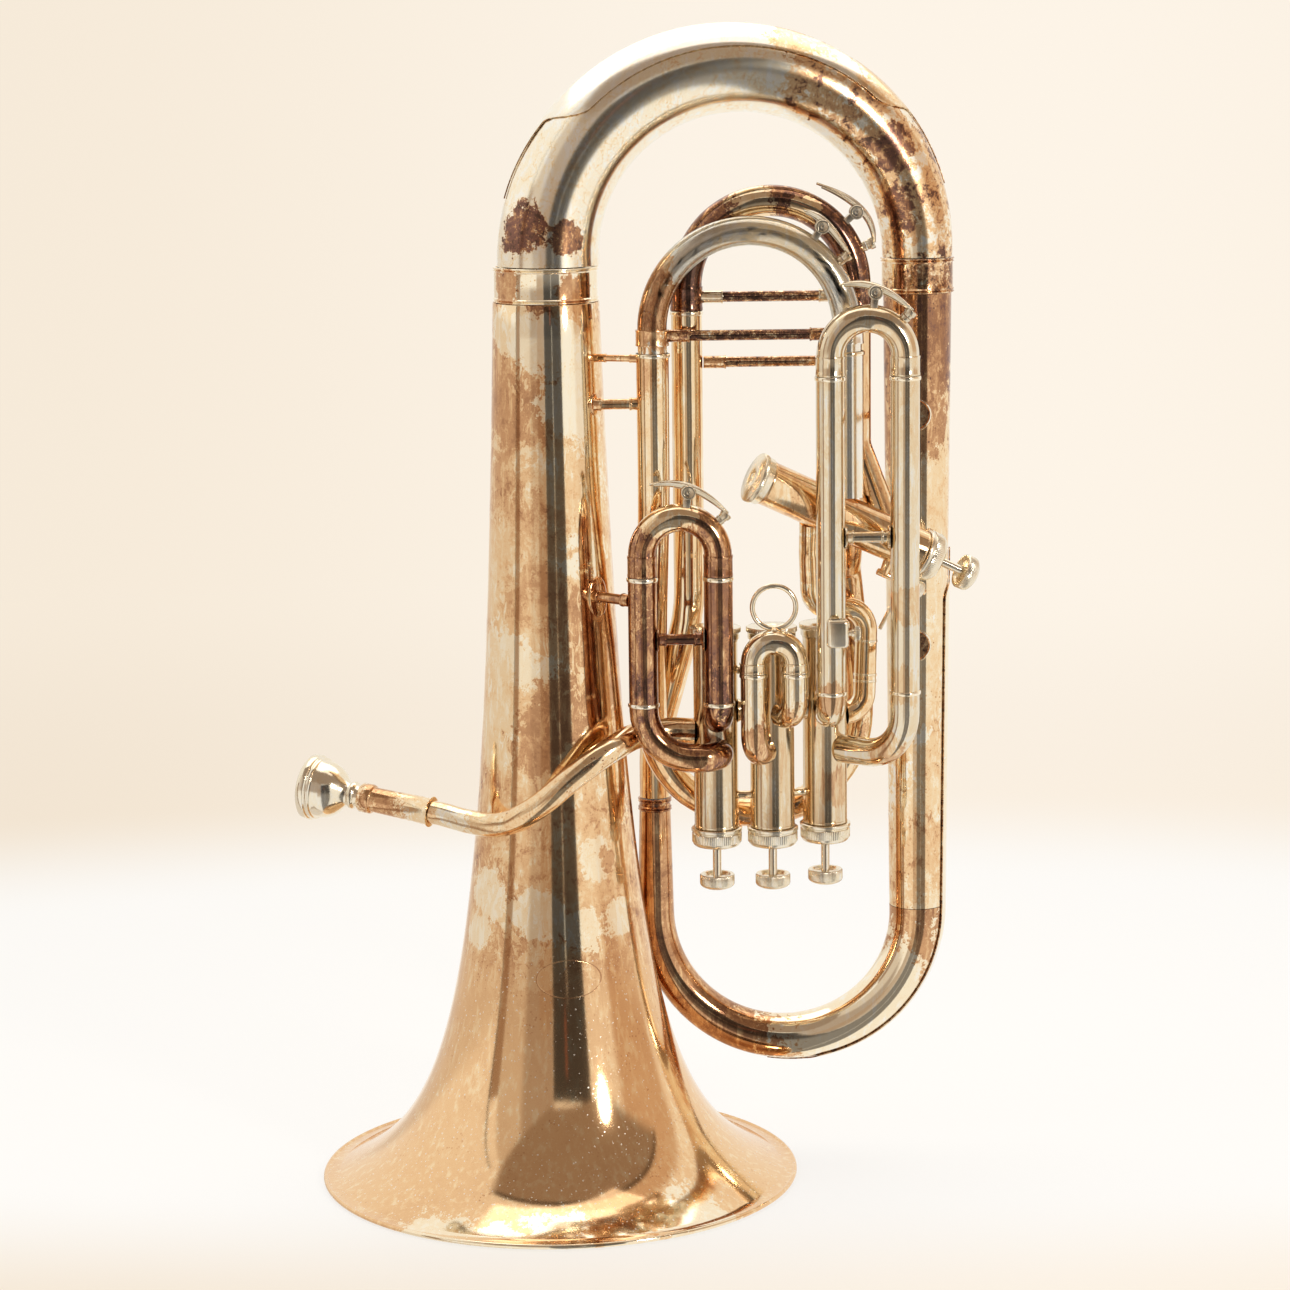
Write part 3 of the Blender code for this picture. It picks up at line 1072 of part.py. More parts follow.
arm = helper("lock_arm", loft([(arm_at + axis_4 * 0.0010 + arm_dir * 0.0030, 0.0026),
                               (arm_at + axis_4 * 0.0010 + arm_dir * 0.0300, 0.0018)], 4))
node("valve_4_lock", hub, NICKEL, 0.3, origin=arm_at, add=[arm])
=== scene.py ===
"""Looks of a euphonium that stands on its bell: worn and tarnished silver plate over brass.

Lengths are in metres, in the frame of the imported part: x right, y back, z up.
"""
import math

import bpy
from mathutils import Matrix, Vector


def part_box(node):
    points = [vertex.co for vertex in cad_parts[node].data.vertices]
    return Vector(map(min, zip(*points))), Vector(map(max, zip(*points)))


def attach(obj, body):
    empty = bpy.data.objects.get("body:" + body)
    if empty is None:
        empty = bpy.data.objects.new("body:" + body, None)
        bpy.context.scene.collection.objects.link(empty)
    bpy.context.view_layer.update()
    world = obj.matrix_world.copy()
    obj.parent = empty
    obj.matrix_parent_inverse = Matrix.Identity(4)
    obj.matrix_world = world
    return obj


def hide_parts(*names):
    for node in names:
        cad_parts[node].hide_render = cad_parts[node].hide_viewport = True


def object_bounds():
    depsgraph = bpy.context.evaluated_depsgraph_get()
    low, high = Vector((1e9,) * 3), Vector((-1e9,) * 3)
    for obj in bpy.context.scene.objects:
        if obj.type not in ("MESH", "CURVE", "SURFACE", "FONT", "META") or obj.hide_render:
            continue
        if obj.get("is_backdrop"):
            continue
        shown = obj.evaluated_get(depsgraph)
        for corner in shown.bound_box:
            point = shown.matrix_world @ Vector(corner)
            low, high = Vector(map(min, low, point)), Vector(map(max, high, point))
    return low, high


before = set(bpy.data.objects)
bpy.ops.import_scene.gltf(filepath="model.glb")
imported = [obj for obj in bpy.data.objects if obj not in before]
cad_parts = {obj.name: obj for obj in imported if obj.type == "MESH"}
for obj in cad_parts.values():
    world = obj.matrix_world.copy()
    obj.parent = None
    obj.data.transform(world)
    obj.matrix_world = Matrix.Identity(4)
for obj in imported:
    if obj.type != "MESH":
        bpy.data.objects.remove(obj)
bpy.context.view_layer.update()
scene = bpy.context.scene
scene.view_settings.view_transform = "Standard"

# Camera. It stands two metres in front of the bell, a little above the bows, and looks down at ten
# degrees. The bell's axis is the line that the whole instrument is measured from.
bell_low, bell_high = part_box("bell")
BELL_X = (bell_low.x + bell_high.x) / 2
CAMERA_AT = Vector((BELL_X + 0.0538, -2.0578, 0.6843))
CAMERA_PITCH = math.radians(10.16)
CAMERA_ROLL = math.radians(-0.71)
CAMERA_LENS = 101.0


def P(x, y, z):
    """A point measured from the bell's axis: x right, y back, z up."""
    return Vector((BELL_X + x, y, z))


ahead = Vector((0, math.cos(CAMERA_PITCH), -math.sin(CAMERA_PITCH)))
level = Vector((1, 0, 0))
upright = level.cross(ahead)
side = level * math.cos(CAMERA_ROLL) + upright * math.sin(CAMERA_ROLL)
head = upright * math.cos(CAMERA_ROLL) - level * math.sin(CAMERA_ROLL)
lens = bpy.data.cameras.new("camera")
lens.lens = CAMERA_LENS
lens.sensor_width = 36.0
lens.clip_end = 100
camera = bpy.data.objects.new("camera", lens)
camera.matrix_world = Matrix.Translation(CAMERA_AT) @ Matrix((side, head, -ahead)).transposed().to_4x4()
scene.collection.objects.link(camera)
scene.camera = camera


# Studio. A pale floor runs out to a cream room, lit by the room itself and three soft lamps. A dark
# strip beside the camera is what draws the charcoal line down every polished tube.
class Wire:
    """An output socket that adds a Math node when it is used in an expression."""

    def __init__(self, tree, socket):
        self.tree = tree
        self.socket = socket

    def math(self, operation, *values):
        step = self.tree.nodes.new("ShaderNodeMath")
        step.operation = operation
        for slot, value in zip(step.inputs, values):
            plug(self.tree, slot, value)
        return Wire(self.tree, step.outputs[0])

    def __add__(self, other):
        return self.math("ADD", self, other)

    def __radd__(self, other):
        return self.math("ADD", other, self)

    def __sub__(self, other):
        return self.math("SUBTRACT", self, other)

    def __rsub__(self, other):
        return self.math("SUBTRACT", other, self)

    def __mul__(self, other):
        return self.math("MULTIPLY", self, other)

    def __rmul__(self, other):
        return self.math("MULTIPLY", other, self)

    def __truediv__(self, other):
        return self.math("DIVIDE", self, other)

    def step(self, low, high):
        """0 below low, 1 above high, smooth between."""
        ramp = self.tree.nodes.new("ShaderNodeMapRange")
        ramp.interpolation_type = "SMOOTHSTEP"
        plug(self.tree, ramp.inputs["Value"], self)
        ramp.inputs["From Min"].default_value = low
        ramp.inputs["From Max"].default_value = high
        return Wire(self.tree, ramp.outputs["Result"])


def plug(tree, slot, value):
    """Links a wire to a socket, or sets the socket's own value."""
    if isinstance(value, Wire):
        tree.links.new(value.socket, slot)
    else:
        slot.default_value = value


class Shader:
    """A node tree that is written as a list of calls."""

    def __init__(self, tree):
        self.tree = tree

    def node(self, kind, settings=None, out=0, **values):
        """Adds a node: its settings first, then values or links for its sockets, by name."""
        made = self.tree.nodes.new("ShaderNode" + kind)
        for key, value in (settings or {}).items():
            if key == "stops":
                for _ in value[2:]:
                    made.color_ramp.elements.new(0.5)
                for element, (place, colour) in zip(made.color_ramp.elements, value):
                    element.position = place
                    element.color = (*colour, 1.0)
            else:
                setattr(made, key, value)
        for key, value in values.items():
            spot = int(key[1:]) if key[0] == "i" and key[1:].isdigit() else key.replace("_", " ")
            plug(self.tree, made.inputs[spot], value)
        return Wire(self.tree, made.outputs[out])

    def mix(self, share, low, high):
        """Mixes two colours."""
        made = self.tree.nodes.new("ShaderNodeMix")
        made.data_type = "RGBA"
        plug(self.tree, made.inputs["Factor"], share)
        for spot, value in ((6, low), (7, high)):
            plug(self.tree, made.inputs[spot], value if isinstance(value, Wire) else (*value, 1.0))
        return Wire(self.tree, made.outputs[2])


# The floor's white is a painted pool of light under the object.
LIT_POOL_WHITE = (1.0, 0.992, 0.972)
ROOM_CREAM = (0.925, 0.825, 0.695)
ROOM_BRIGHT = (0.985, 0.905, 0.800)
SOFT_WHITE = (1.0, 0.965, 0.905)
DIM_CREAM = (0.70, 0.62, 0.54)
DIM_BROWN = (0.46, 0.38, 0.32)
SIDE_BROWN = (0.68, 0.49, 0.34)
CHARCOAL = (0.075, 0.070, 0.068)
FLOOR_GREY = (0.25, 0.235, 0.22)
POST_BROWN = (0.40, 0.28, 0.20)
BAND_BROWN = (0.45, 0.33, 0.24)
CEILING_BROWN = (0.34, 0.26, 0.20)
EDGE_DARK = (0.10, 0.07, 0.05)

world = bpy.data.worlds.new("room")
world.use_nodes = True
scene.world = world
room = Shader(world.node_tree)
world.node_tree.nodes.clear()
way = room.node("TexCoord")
way_x = room.node("SeparateXYZ", out=0, Vector=way)
way_y = room.node("SeparateXYZ", out=1, Vector=way)
way_z = room.node("SeparateXYZ", out=2, Vector=way)
turn = way_x.math("ARCTAN2", way_x, way_y * -1.0) * (180 / math.pi)
rise = way_z.math("ARCSINE", way_z) * (180 / math.pi)


def span(value, low, high, soft=1.2):
    """1 between two values, 0 outside, with soft edges."""
    return value.step(low - soft / 2, low + soft / 2) * (1 - value.step(high - soft / 2, high + soft / 2))


# The walls turn around the object: cream, a post, a dim stretch, the dark strip, the softbox and a
# brown corner on the right.
low_fade = rise.step(-7.0, 1.0)
lit = room.mix(span(turn, -57.0, -4.0, 3.0) * low_fade, SOFT_WHITE, DIM_CREAM)
lit = room.mix(span(turn, -34.0, -4.0, 7.0) * low_fade, lit, DIM_BROWN)
drip = 13.0 - (turn + 12.0).math("ABSOLUTE", turn + 12.0) * 0.45
lit = room.mix(span(turn, -19.0, -4.5) * (drip - rise).step(0.0, 1.5) * rise.step(-26.0, -10.0) * 0.8, lit, BAND_BROWN)
lit = room.mix(span(turn, -66.0, -57.0) * (1 - rise.step(20.5, 21.5)), lit, POST_BROWN)
lit = room.mix(span(turn, -66.9, -65.6, 0.6) * (1 - rise.step(50.0, 52.0)), lit, CHARCOAL)
lit = room.mix(span(turn, -160.0, -66.5, 8.0) * (1 - rise.step(2.0, 9.0)) * 0.65, lit, DIM_CREAM)
lit = room.mix(span(turn, 61.0, 106.0, 7.0) * rise.step(-8.0, 4.0) * 0.9, lit, SIDE_BROWN)
strip = span(turn, -4.2, 31.5, 0.8) * (1 - rise.step(26.6, 27.6))
strip_tone = room.mix(rise.step(-15.0, 1.0), FLOOR_GREY, CHARCOAL)
strip_tone = room.mix(span(turn, 11.6, 12.5, 0.5) * (1 - rise.step(6.0, 7.5)) * 0.6, strip_tone, SOFT_WHITE)
strip_tone = room.mix(span(turn, 8.2, 9.8, 0.6) * span(rise, 8.0, 20.0), strip_tone, (0.30, 0.13, 0.09))
lit = room.mix(strip, lit, strip_tone)
# Overhead hangs a brown ceiling, measured on a level plane above the object, with a dark back edge.
above = rise.step(4.0, 8.0)
across = way_x / (way_z.math("MAXIMUM", way_z, 0.02))
forward = (way_y * -1.0) / (way_z.math("MAXIMUM", way_z, 0.02))
bow_edge = across + 0.70 - (forward - 0.80) * (forward - 0.80) * 0.46
inside = above * bow_edge.step(-0.05, 0.05) * (1 - across.step(1.5, 2.0))
lit = room.mix(inside * span(forward, 0.10, 1.78, 0.04), lit, CEILING_BROWN)
lit = room.mix(inside * span(forward, 0.06, 0.12, 0.02), lit, EDGE_DARK)
aside = way_x / way_y - 0.09
wall = room.mix(aside.math("ABSOLUTE", aside).step(0.02, 0.27), ROOM_BRIGHT, ROOM_CREAM)
seen = room.node("LightPath", out="Is Camera Ray")
glow = room.node("Background", Color=room.mix(seen, lit, wall), Strength=1.0)
end = world.node_tree.nodes.new("ShaderNodeOutputWorld")
world.node_tree.links.new(glow.socket, end.inputs["Surface"])

# The floor is painted white in an oval under the object, a painted pool of light, and turns cream towards the camera
# and the back of the room.
# Metal looks through it to the lower half of the room, which carries the same pale floor.
bpy.ops.object.select_all(action="DESELECT")
bpy.ops.mesh.primitive_circle_add(vertices=96, radius=40, fill_type="NGON", location=(0, 0, -0.0004))
floor = bpy.context.object
floor.name = "floor"
stone = bpy.data.materials.new("floor")
stone.use_nodes = True
paint = Shader(stone.node_tree)
stone.node_tree.nodes.clear()
spot = paint.node("TexCoord", out="Object")
spot_x = paint.node("SeparateXYZ", out=0, Vector=spot) - 0.05
spot_y = paint.node("SeparateXYZ", out=1, Vector=spot) - 0.24
depth = spot_y.math("MAXIMUM", spot_y * 0.62, spot_y * -1.0)
reach = depth.math("SQRT", depth * depth + spot_x * spot_x * 0.12)
aside = (spot_x + 0.045) / (spot_y + 2.30) - 0.09
room_tone = paint.mix(aside.math("ABSOLUTE", aside).step(0.02, 0.27), ROOM_BRIGHT, ROOM_CREAM)
lit_pool_tone = paint.mix(reach.step(0.29, 0.50), LIT_POOL_WHITE, room_tone)
matt = paint.node("BsdfDiffuse", Color=lit_pool_tone)
shine = paint.node("Emission", Color=lit_pool_tone, Strength=1.0)
seen = paint.node("LightPath", out="Is Camera Ray")
share = seen * (0.75 + 0.25 * reach.step(0.45, 1.2))
paper = paint.node("MixShader", Fac=share, i1=matt, i2=shine)
paper = paint.node("MixShader", Fac=paint.node("LightPath", out="Is Glossy Ray"), i1=paper,
                   i2=paint.node("BsdfTransparent"))
end = stone.node_tree.nodes.new("ShaderNodeOutputMaterial")
stone.node_tree.links.new(paper.socket, end.inputs["Surface"])
floor.data.materials.append(stone)
floor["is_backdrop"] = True

for name, at, size, power in (("lamp_front", (1.10, -1.28, 0.86), (0.25, 0.42), 7),
                              ("lamp_top", (0.05, 0.20, 1.05), (0.95, 0.80), 2.45),
                              ("lamp_left", (-1.8, -0.9, 1.7), (1.1, 1.1), 4),
                              ("lamp_back", (0.4, 1.7, 2.0), (1.2, 1.2), 3)):
    bulb = bpy.data.lights.new(name, "AREA")
    bulb.shape = "RECTANGLE" if name == "lamp_top" else "ELLIPSE"
    bulb.size, bulb.size_y = size
    bulb.energy = power
    bulb.color = (1.0, 0.965, 0.91)
    lamp = bpy.data.objects.new(name, bulb)
    lamp.location = at
    lamp.rotation_mode = "QUATERNION"
    lamp.rotation_quaternion = (Vector((0, 0, 0.35)) - Vector(at)).to_track_quat("-Z", "Y")
    lamp.visible_glossy = name in ("lamp_front", "lamp_top")
    scene.collection.objects.link(lamp)


# Bell. Silver-plated sheet brass, spun to a flare and rolled over a wire at the rim. The plate has
# worn and tarnished in cloudy patches, and an empty oval line is engraved above the flare.
MOUTH_R = 0.138
RIM_R = 0.140
RIM_H = 0.0030
FLARE_Z = 0.0264
BELL_TOP_Z = 0.5145
WALL = 0.0007


def flare(z):
    """Radius of the bell at a height."""
    return MOUTH_R * math.sqrt(FLARE_Z / (z + FLARE_Z))


def turned(name, outline, foot=None, along=None, sides=96):
    """A ring extruded and scaled from point to point of an outline of (radius, height)."""
    bpy.ops.object.select_all(action="DESELECT")
    tiny = 1e-5
    r, z = outline[0]
    r = max(r, tiny)
    bpy.ops.mesh.primitive_circle_add(vertices=sides, radius=r, location=(0, 0, 0))
    piece = bpy.context.object
    piece.name = name
    bpy.ops.object.mode_set(mode="EDIT")
    bpy.ops.transform.translate(value=(0, 0, z))
    for next_r, next_z in outline[1:]:
        next_r = max(next_r, tiny)
        bpy.ops.mesh.extrude_edges_move(TRANSFORM_OT_translate={"value": (0, 0, next_z - z)})
        scale = next_r / r
        bpy.ops.transform.resize(value=(scale, scale, 1), center_override=(0, 0, next_z))
        r, z = next_r, next_z
    bpy.ops.mesh.select_all(action="SELECT")
    bpy.ops.mesh.remove_doubles(threshold=tiny * 2)
    bpy.ops.mesh.normals_make_consistent(inside=False)
    bpy.ops.object.mode_set(mode="OBJECT")
    if foot is not None:
        piece.rotation_mode = "QUATERNION"
        piece.rotation_quaternion = Vector((0, 0, 1)).rotation_difference((along or Vector((0, 0, 1))).normalized())
        piece.location = foot
        bpy.ops.object.transform_apply(location=True, rotation=True, scale=True)
    return piece


def rounded(piece, width=0.00025, segments=2, angle=35):
    """Breaks the sharp edges of a piece, and smooths the rest."""
    bpy.ops.object.select_all(action="DESELECT")
    piece.select_set(True)
    bpy.context.view_layer.objects.active = piece
    edge = piece.modifiers.new("edge", "BEVEL")
    edge.width = width
    edge.segments = segments
    edge.limit_method = "ANGLE"
    edge.angle_limit = math.radians(angle)
    bpy.ops.object.modifier_apply(modifier=edge.name)
    bpy.ops.object.shade_smooth_by_angle(angle=math.radians(50))
    return piece


SILVER, CREAM, PALE_GOLD, TAN, COPPER, BROWN, PURPLE = 0.06, 0.22, 0.40, 0.55, 0.68, 0.80, 0.90
TARNISH = [(0.00, (0.93, 0.90, 0.83)), (0.20, (0.95, 0.84, 0.64)), (0.40, (0.90, 0.68, 0.42)),
           (0.55, (0.84, 0.55, 0.30)), (0.68, (0.64, 0.36, 0.185)), (0.80, (0.40, 0.20, 0.105)),
           (0.90, (0.24, 0.12, 0.09)), (1.00, (0.12, 0.07, 0.05))]


def plate(name, level, spread=0.2, patch=15.0, streak=1.0, bare=0.3, flecks=0.3, specks=0.3, dust=0.0, wipes=0.3,
          mottle=0.3, shade=0.0, shift=0.0, rough=0.06, marks=(), lean=(0.0, 0.0, 0.0, 0.0), calm=None, groove=None,
          scrub=0.0, least=0.0):
    """Worn plate over brass. One field, from 0 for bare silver to 1 for black tarnish, gives its colour.

    mottle breaks tarnished areas up into lighter and darker lace, and shade greys it all. bare is how much of it lies
    open in torn pale islands. marks are (centre, radius, level, strength) of single stains, and some of the pale marks
    are painted highlights. lean adds tarnish per metre along x, y and z, and an offset. Below and above the two heights
    of calm it is plain or patchy. groove is a wire that is 1 on an engraved line."""
    mat = bpy.data.materials.new(name)
    mat.use_nodes = True
    s = Shader(mat.node_tree)
    shader = mat.node_tree.nodes["Principled BSDF"]
    where = s.node("TexCoord", out="Object")
    moved = s.node("Mapping", Vector=where, Location=(shift, shift * 0.7, shift * 1.3), Scale=(1, 1, streak))
    cloud = s.node("TexNoise", Vector=moved, Scale=patch, Detail=8.0, Roughness=0.66, Distortion=0.5)
    broad = s.node("TexNoise", Vector=moved, Scale=patch * 0.45, Detail=3.0, Roughness=0.5)
    fine = s.node("TexNoise", Vector=moved, Scale=patch * 10, Detail=6.0, Roughness=0.75)
    grain = s.node("TexNoise", Vector=where, Scale=700.0, Detail=3.0, Roughness=0.7)
    brushed = s.node("Mapping", Vector=where, Rotation=(0.15, -0.1, 0.0), Scale=(1, 1, 0.16))
    wipe = s.node("TexNoise", Vector=brushed, Scale=240.0, Detail=4.0, Roughness=0.6)
    tilt = s.node("VectorMath", {"operation": "DOT_PRODUCT"}, out="Value", i0=where, i1=lean[:3]) + lean[3]
    torn = cloud + (fine - 0.5) * 0.22
    edge = 0.5 + (0.5 - bare) * 0.36
    open_here = torn.step(edge - 0.008, edge + 0.014)
    far = torn - edge
    torn_rim = 1 - far.math("ABSOLUTE", far).step(0.0, 0.020)
    field = (broad - 0.5) * spread * 2.2 + (cloud - 0.5) * spread * 1.6 + 0.10 * torn_rim - 0.30 * open_here
    field = field + (fine - 0.5) * spread * 0.8
    if calm:
        height = s.node("SeparateXYZ", out=2, Vector=where)
        lively = height.step(*calm)
        field = field * (0.22 + 0.78 * lively)
        mottle = (0.06 + 0.94 * lively) * mottle
        scrub = (0.04 + 0.96 * lively) * scrub
    field = field + level + tilt
    for centre, radius, target, strength in marks:
        off = s.node("VectorMath", {"operation": "DISTANCE"}, out="Value", i0=where, i1=tuple(centre))
        inside = (1.0 - off / radius + (cloud - 0.5) * 2.4 + (fine - 0.5) * 2.0).step(0.0, 0.10) * strength
        field = field * (1 - inside) + inside * target
        if target > COPPER:
            mottle = mottle * (1 - inside * 0.6)
    lace = s.node("TexNoise", Vector=moved, Scale=patch * 5, Detail=9.0, Roughness=0.78, Distortion=0.25)
    vein = s.node("TexNoise", Vector=where, Scale=patch * 3, Detail=5.0, Roughness=0.6)
    vein_far = vein - 0.5
    tarnished = 0.25 + 0.75 * field.step(0.22, 0.60)
    laced = lace.step(0.53, 0.60) * 0.9 - (1 - lace.step(0.40, 0.47)) * 1.1
    field = field + laced * tarnished * mottle * 0.55
    field = field + (1 - vein_far.math("ABSOLUTE", vein_far).step(0.0, 0.012)) * mottle * 0.30
    field = field - wipe.step(0.50, 0.72) * wipes * 0.35
    if scrub:
        slanted = s.node("Mapping", Vector=where, Rotation=(0.6, -0.5, 0.3), Scale=(1, 1, 0.35))
        scribble = s.node("TexNoise", Vector=slanted, Scale=190.0, Detail=5.0, Roughness=0.65, Distortion=1.2)
        field = field - scribble.step(0.53, 0.60) * cloud.step(0.42, 0.56) * scrub * 0.30
    flecked = grain.step(0.60, 0.68) * cloud.step(0.36, 0.62) * flecks
    field = field - 0.40 * flecked * field.step(0.35, 0.60)
    spots = s.node("TexVoronoi", {"feature": "F1"}, out="Distance", Vector=where, Scale=420.0)
    size = s.node("TexNoise", Vector=where, Scale=45.0, Detail=4.0, Roughness=0.7)
    dots = (1 - spots.step(0.16, 0.30)) * size.step(0.50, 0.66) * specks
    field = field + 0.45 * dots
    if groove:
        line = groove(s, where)
        field = field + 0.22 * line
    if least:
        field = field.math("MAXIMUM", field, least)
    colour = s.node("ValToRGB", {"stops": TARNISH}, Fac=field)
    if shade:
        colour = s.mix(shade, colour, (0.28, 0.235, 0.19))
    powder = 0.0
    if dust:
        motes = s.node("TexVoronoi", {"feature": "F1"}, out="Distance", Vector=where, Scale=380.0)
        few = s.node("TexNoise", Vector=where, Scale=700.0, Detail=2.0, Roughness=0.5)
        powder = (1 - motes.step(0.14, 0.26)) * few.step(0.48, 0.58) * dust * (1 - height.step(*calm))
        colour = s.mix(powder, colour, (0.93, 0.88, 0.80))
    plug(mat.node_tree, shader.inputs["Base Color"], colour)
    dull = field.step(0.25, 1.0) * 0.05 + rough + 0.04 * fine + 0.22 * dots
    plug(mat.node_tree, shader.inputs["Roughness"], dull + powder * 0.3)
    shader.inputs["Metallic"].default_value = 1.0
    dent = s.node("TexNoise", Vector=where, Scale=9.0, Detail=1.0, Roughness=0.4)
    relief = dent * 0.0010 + cloud * 0.0002 + fine * 0.00003
    if groove:
        relief = relief - line * 0.0002
    plug(mat.node_tree, shader.inputs["Normal"], s.node("Bump", Strength=0.30, Distance=1.0, Height=relief))
    return mat


def belongs(piece, material, body, slot, *nodes):
    """Finish and body of a piece that stands for CAD nodes; the material slot it is given is not used."""
    if not piece.data.materials:
        piece.data.materials.append(material)
    for slot_at, finish in enumerate(piece.data.materials):
        if finish is None:
            piece.data.materials[slot_at] = material
    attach(piece, body)
    if nodes:
        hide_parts(*nodes)
    return piece


def on_bell(turn, z, lift=0.0):
    """Point of the bell's outer side, turned from the camera's side to the right by so many degrees."""
    a = math.radians(turn)
    return P(math.sin(a) * (flare(z) + lift), -math.cos(a) * (flare(z) + lift), z)


rows = 56
outer = [(flare(z), z) for z in (RIM_H + (BELL_TOP_Z - RIM_H) * (k / rows) ** 2.1 for k in range(rows, -1, -1))]
bead = [(RIM_R - 0.0026, RIM_H * 0.70), (RIM_R - 0.0020, RIM_H * 0.94), (RIM_R - 0.0012, RIM_H), (RIM_R - 0.0005, RIM_H * 0.90),
        (RIM_R - 0.0001, RIM_H * 0.70), (RIM_R, RIM_H * 0.45), (RIM_R - 0.0003, RIM_H * 0.2),
        (RIM_R - 0.0012, 0.0), (RIM_R - 0.0028, 0.0), (RIM_R - 0.0040, RIM_H * 0.2), (RIM_R - 0.0046, RIM_H * 0.5)]
inner = [(r - WALL, z) for r, z in outer[::-1]]
bell = turned("bell_spun", outer + bead + inner + outer[:1], P(0, 0, 0), sides=160)
rounded(bell, 0.0002)
OVAL_TURN, OVAL_Z = 8.5, 0.132
OVAL_HALF_W, OVAL_HALF_H = 0.0190, 0.0106


def engraved_oval(s, where):
    """1 on a thin oval line on the front of the bell."""
    x = s.node("SeparateXYZ", out=0, Vector=where) - BELL_X
    y = s.node("SeparateXYZ", out=1, Vector=where)
    z = s.node("SeparateXYZ", out=2, Vector=where)
    u = (x.math("ARCTAN2", x, y * -1.0) - math.radians(OVAL_TURN)) * (flare(OVAL_Z) / OVAL_HALF_W)
    v = (z - OVAL_Z) * (1 / OVAL_HALF_H)
    ring = u.math("SQRT", u * u + v * v) - 1.0
    return (1 - ring.math("ABSOLUTE", ring).step(0.010, 0.026)) * (y * -1.0).step(0.0, 0.01) * 0.7


bell_plate = plate("bell_plate", TAN + 0.02, spread=0.36, patch=16, streak=0.95, bare=0.22, flecks=0.6, specks=0.3,
                   dust=0.85, mottle=0.26, wipes=0.5, scrub=1.0, least=0.15, shift=3.1, calm=(0.11, 0.19), groove=engraved_oval,
                   marks=[(on_bell(-45, 0.460), 0.040, COPPER + 0.03, 0.85),
                          (on_bell(-50, 0.415), 0.035, COPPER, 0.8),
                          (on_bell(-22, 0.505), 0.014, BROWN, 0.85),
                          (on_bell(-40, 0.500), 0.015, CREAM + 0.05, 0.8),
                          (on_bell(-12.8, 0.495), 0.014, CREAM, 0.9),
                          (on_bell(-20, 0.426), 0.012, CREAM, 0.7),
                          # These four pale marks in a row down the right side are partly painted highlight: a pale
                          # streak where the bell shows a bright reflection.
                          (on_bell(27, 0.490), 0.017, CREAM - 0.02, 0.9),
                          (on_bell(27, 0.455), 0.019, CREAM - 0.04, 0.9),
                          (on_bell(27, 0.414), 0.026, CREAM - 0.06, 0.95),
                          (on_bell(24, 0.372), 0.018, CREAM - 0.04, 0.9),
                          (on_bell(-25, 0.380), 0.032, TAN + 0.06, 0.8),
                          (on_bell(45, 0.310), 0.045, COPPER + 0.06, 0.8),
                          (on_bell(-58, 0.365), 0.030, PALE_GOLD, 0.7),
                          (on_bell(-30, 0.314), 0.026, CREAM, 0.9),
                          (on_bell(-60, 0.294), 0.030, PALE_GOLD, 0.8),
                          (on_bell(-46, 0.269), 0.022, PALE_GOLD - 0.05, 0.8),
                          (on_bell(1.4, 0.279), 0.024, COPPER + 0.06, 0.85),
                          (on_bell(-9, 0.263), 0.020, COPPER + 0.06, 0.8),
                          (on_bell(-53, 0.177), 0.014, CREAM + 0.06, 0.95),
                          (on_bell(-59, 0.155), 0.011, CREAM + 0.06, 0.95),
                          (on_bell(-8, 0.171), 0.015, CREAM + 0.06, 0.95),
                          (on_bell(33, 0.197), 0.016, CREAM + 0.06, 0.95),
                          (on_bell(22, 0.162), 0.013, CREAM + 0.06, 0.95),
                          (on_bell(46, 0.165), 0.012, CREAM + 0.06, 0.95),
                          (on_bell(41, 0.196), 0.010, BROWN, 0.7),
                          (on_bell(10, 0.410), 0.030, COPPER, 0.6),
                          (on_bell(-5, 0.345), 0.030, COPPER + 0.04, 0.6),
                          # The pale marks along the front of the rim are partly paler plate and partly a painted
                          # highlight for the bright band there.
                          (P(-0.034, -0.133, 0.001), 0.024, CREAM, 0.95),
                          (P(0.004, -0.138, 0.001), 0.030, CREAM - 0.03, 0.95),
                          (P(0.042, -0.131, 0.001), 0.026, CREAM, 0.95),
                          (P(-0.064, -0.122, 0.001), 0.026, CREAM + 0.02, 0.95),
                          (P(0.078, -0.113, 0.003), 0.030, CREAM + 0.02, 0.95)])
belongs(bell, bell_plate, "horn", "silver", "bell")


# Ferrules. Short turned rings over the joints of the bugle, with a bead at both edges.
def ferrule(name, foot, along, radius, length, sides=96):
    """Ring with two fine raised beads at each edge, a groove between them."""
    b = 0.0007
    e = 0.0011
    lo, hi = 0.0003, length - 0.0003
    edge = [(-0.0012, 0), (b * 0.6, 0), (b, e * 0.3), (b, e * 0.7), (b * 0.1, e), (-b * 0.2, e * 1.15), (b * 0.1, e * 1.3),
            (b * 0.9, e * 1.6), (b * 0.9, e * 1.9), (b * 0.3, e * 2.3), (0, e * 2.5)]
    outline = [(radius + r, lo + z) for r, z in edge] + [(radius + r, hi - z) for r, z in edge[::-1]]
    return rounded(turned(name, outline + outline[:1], foot, along, sides), 0.00012)


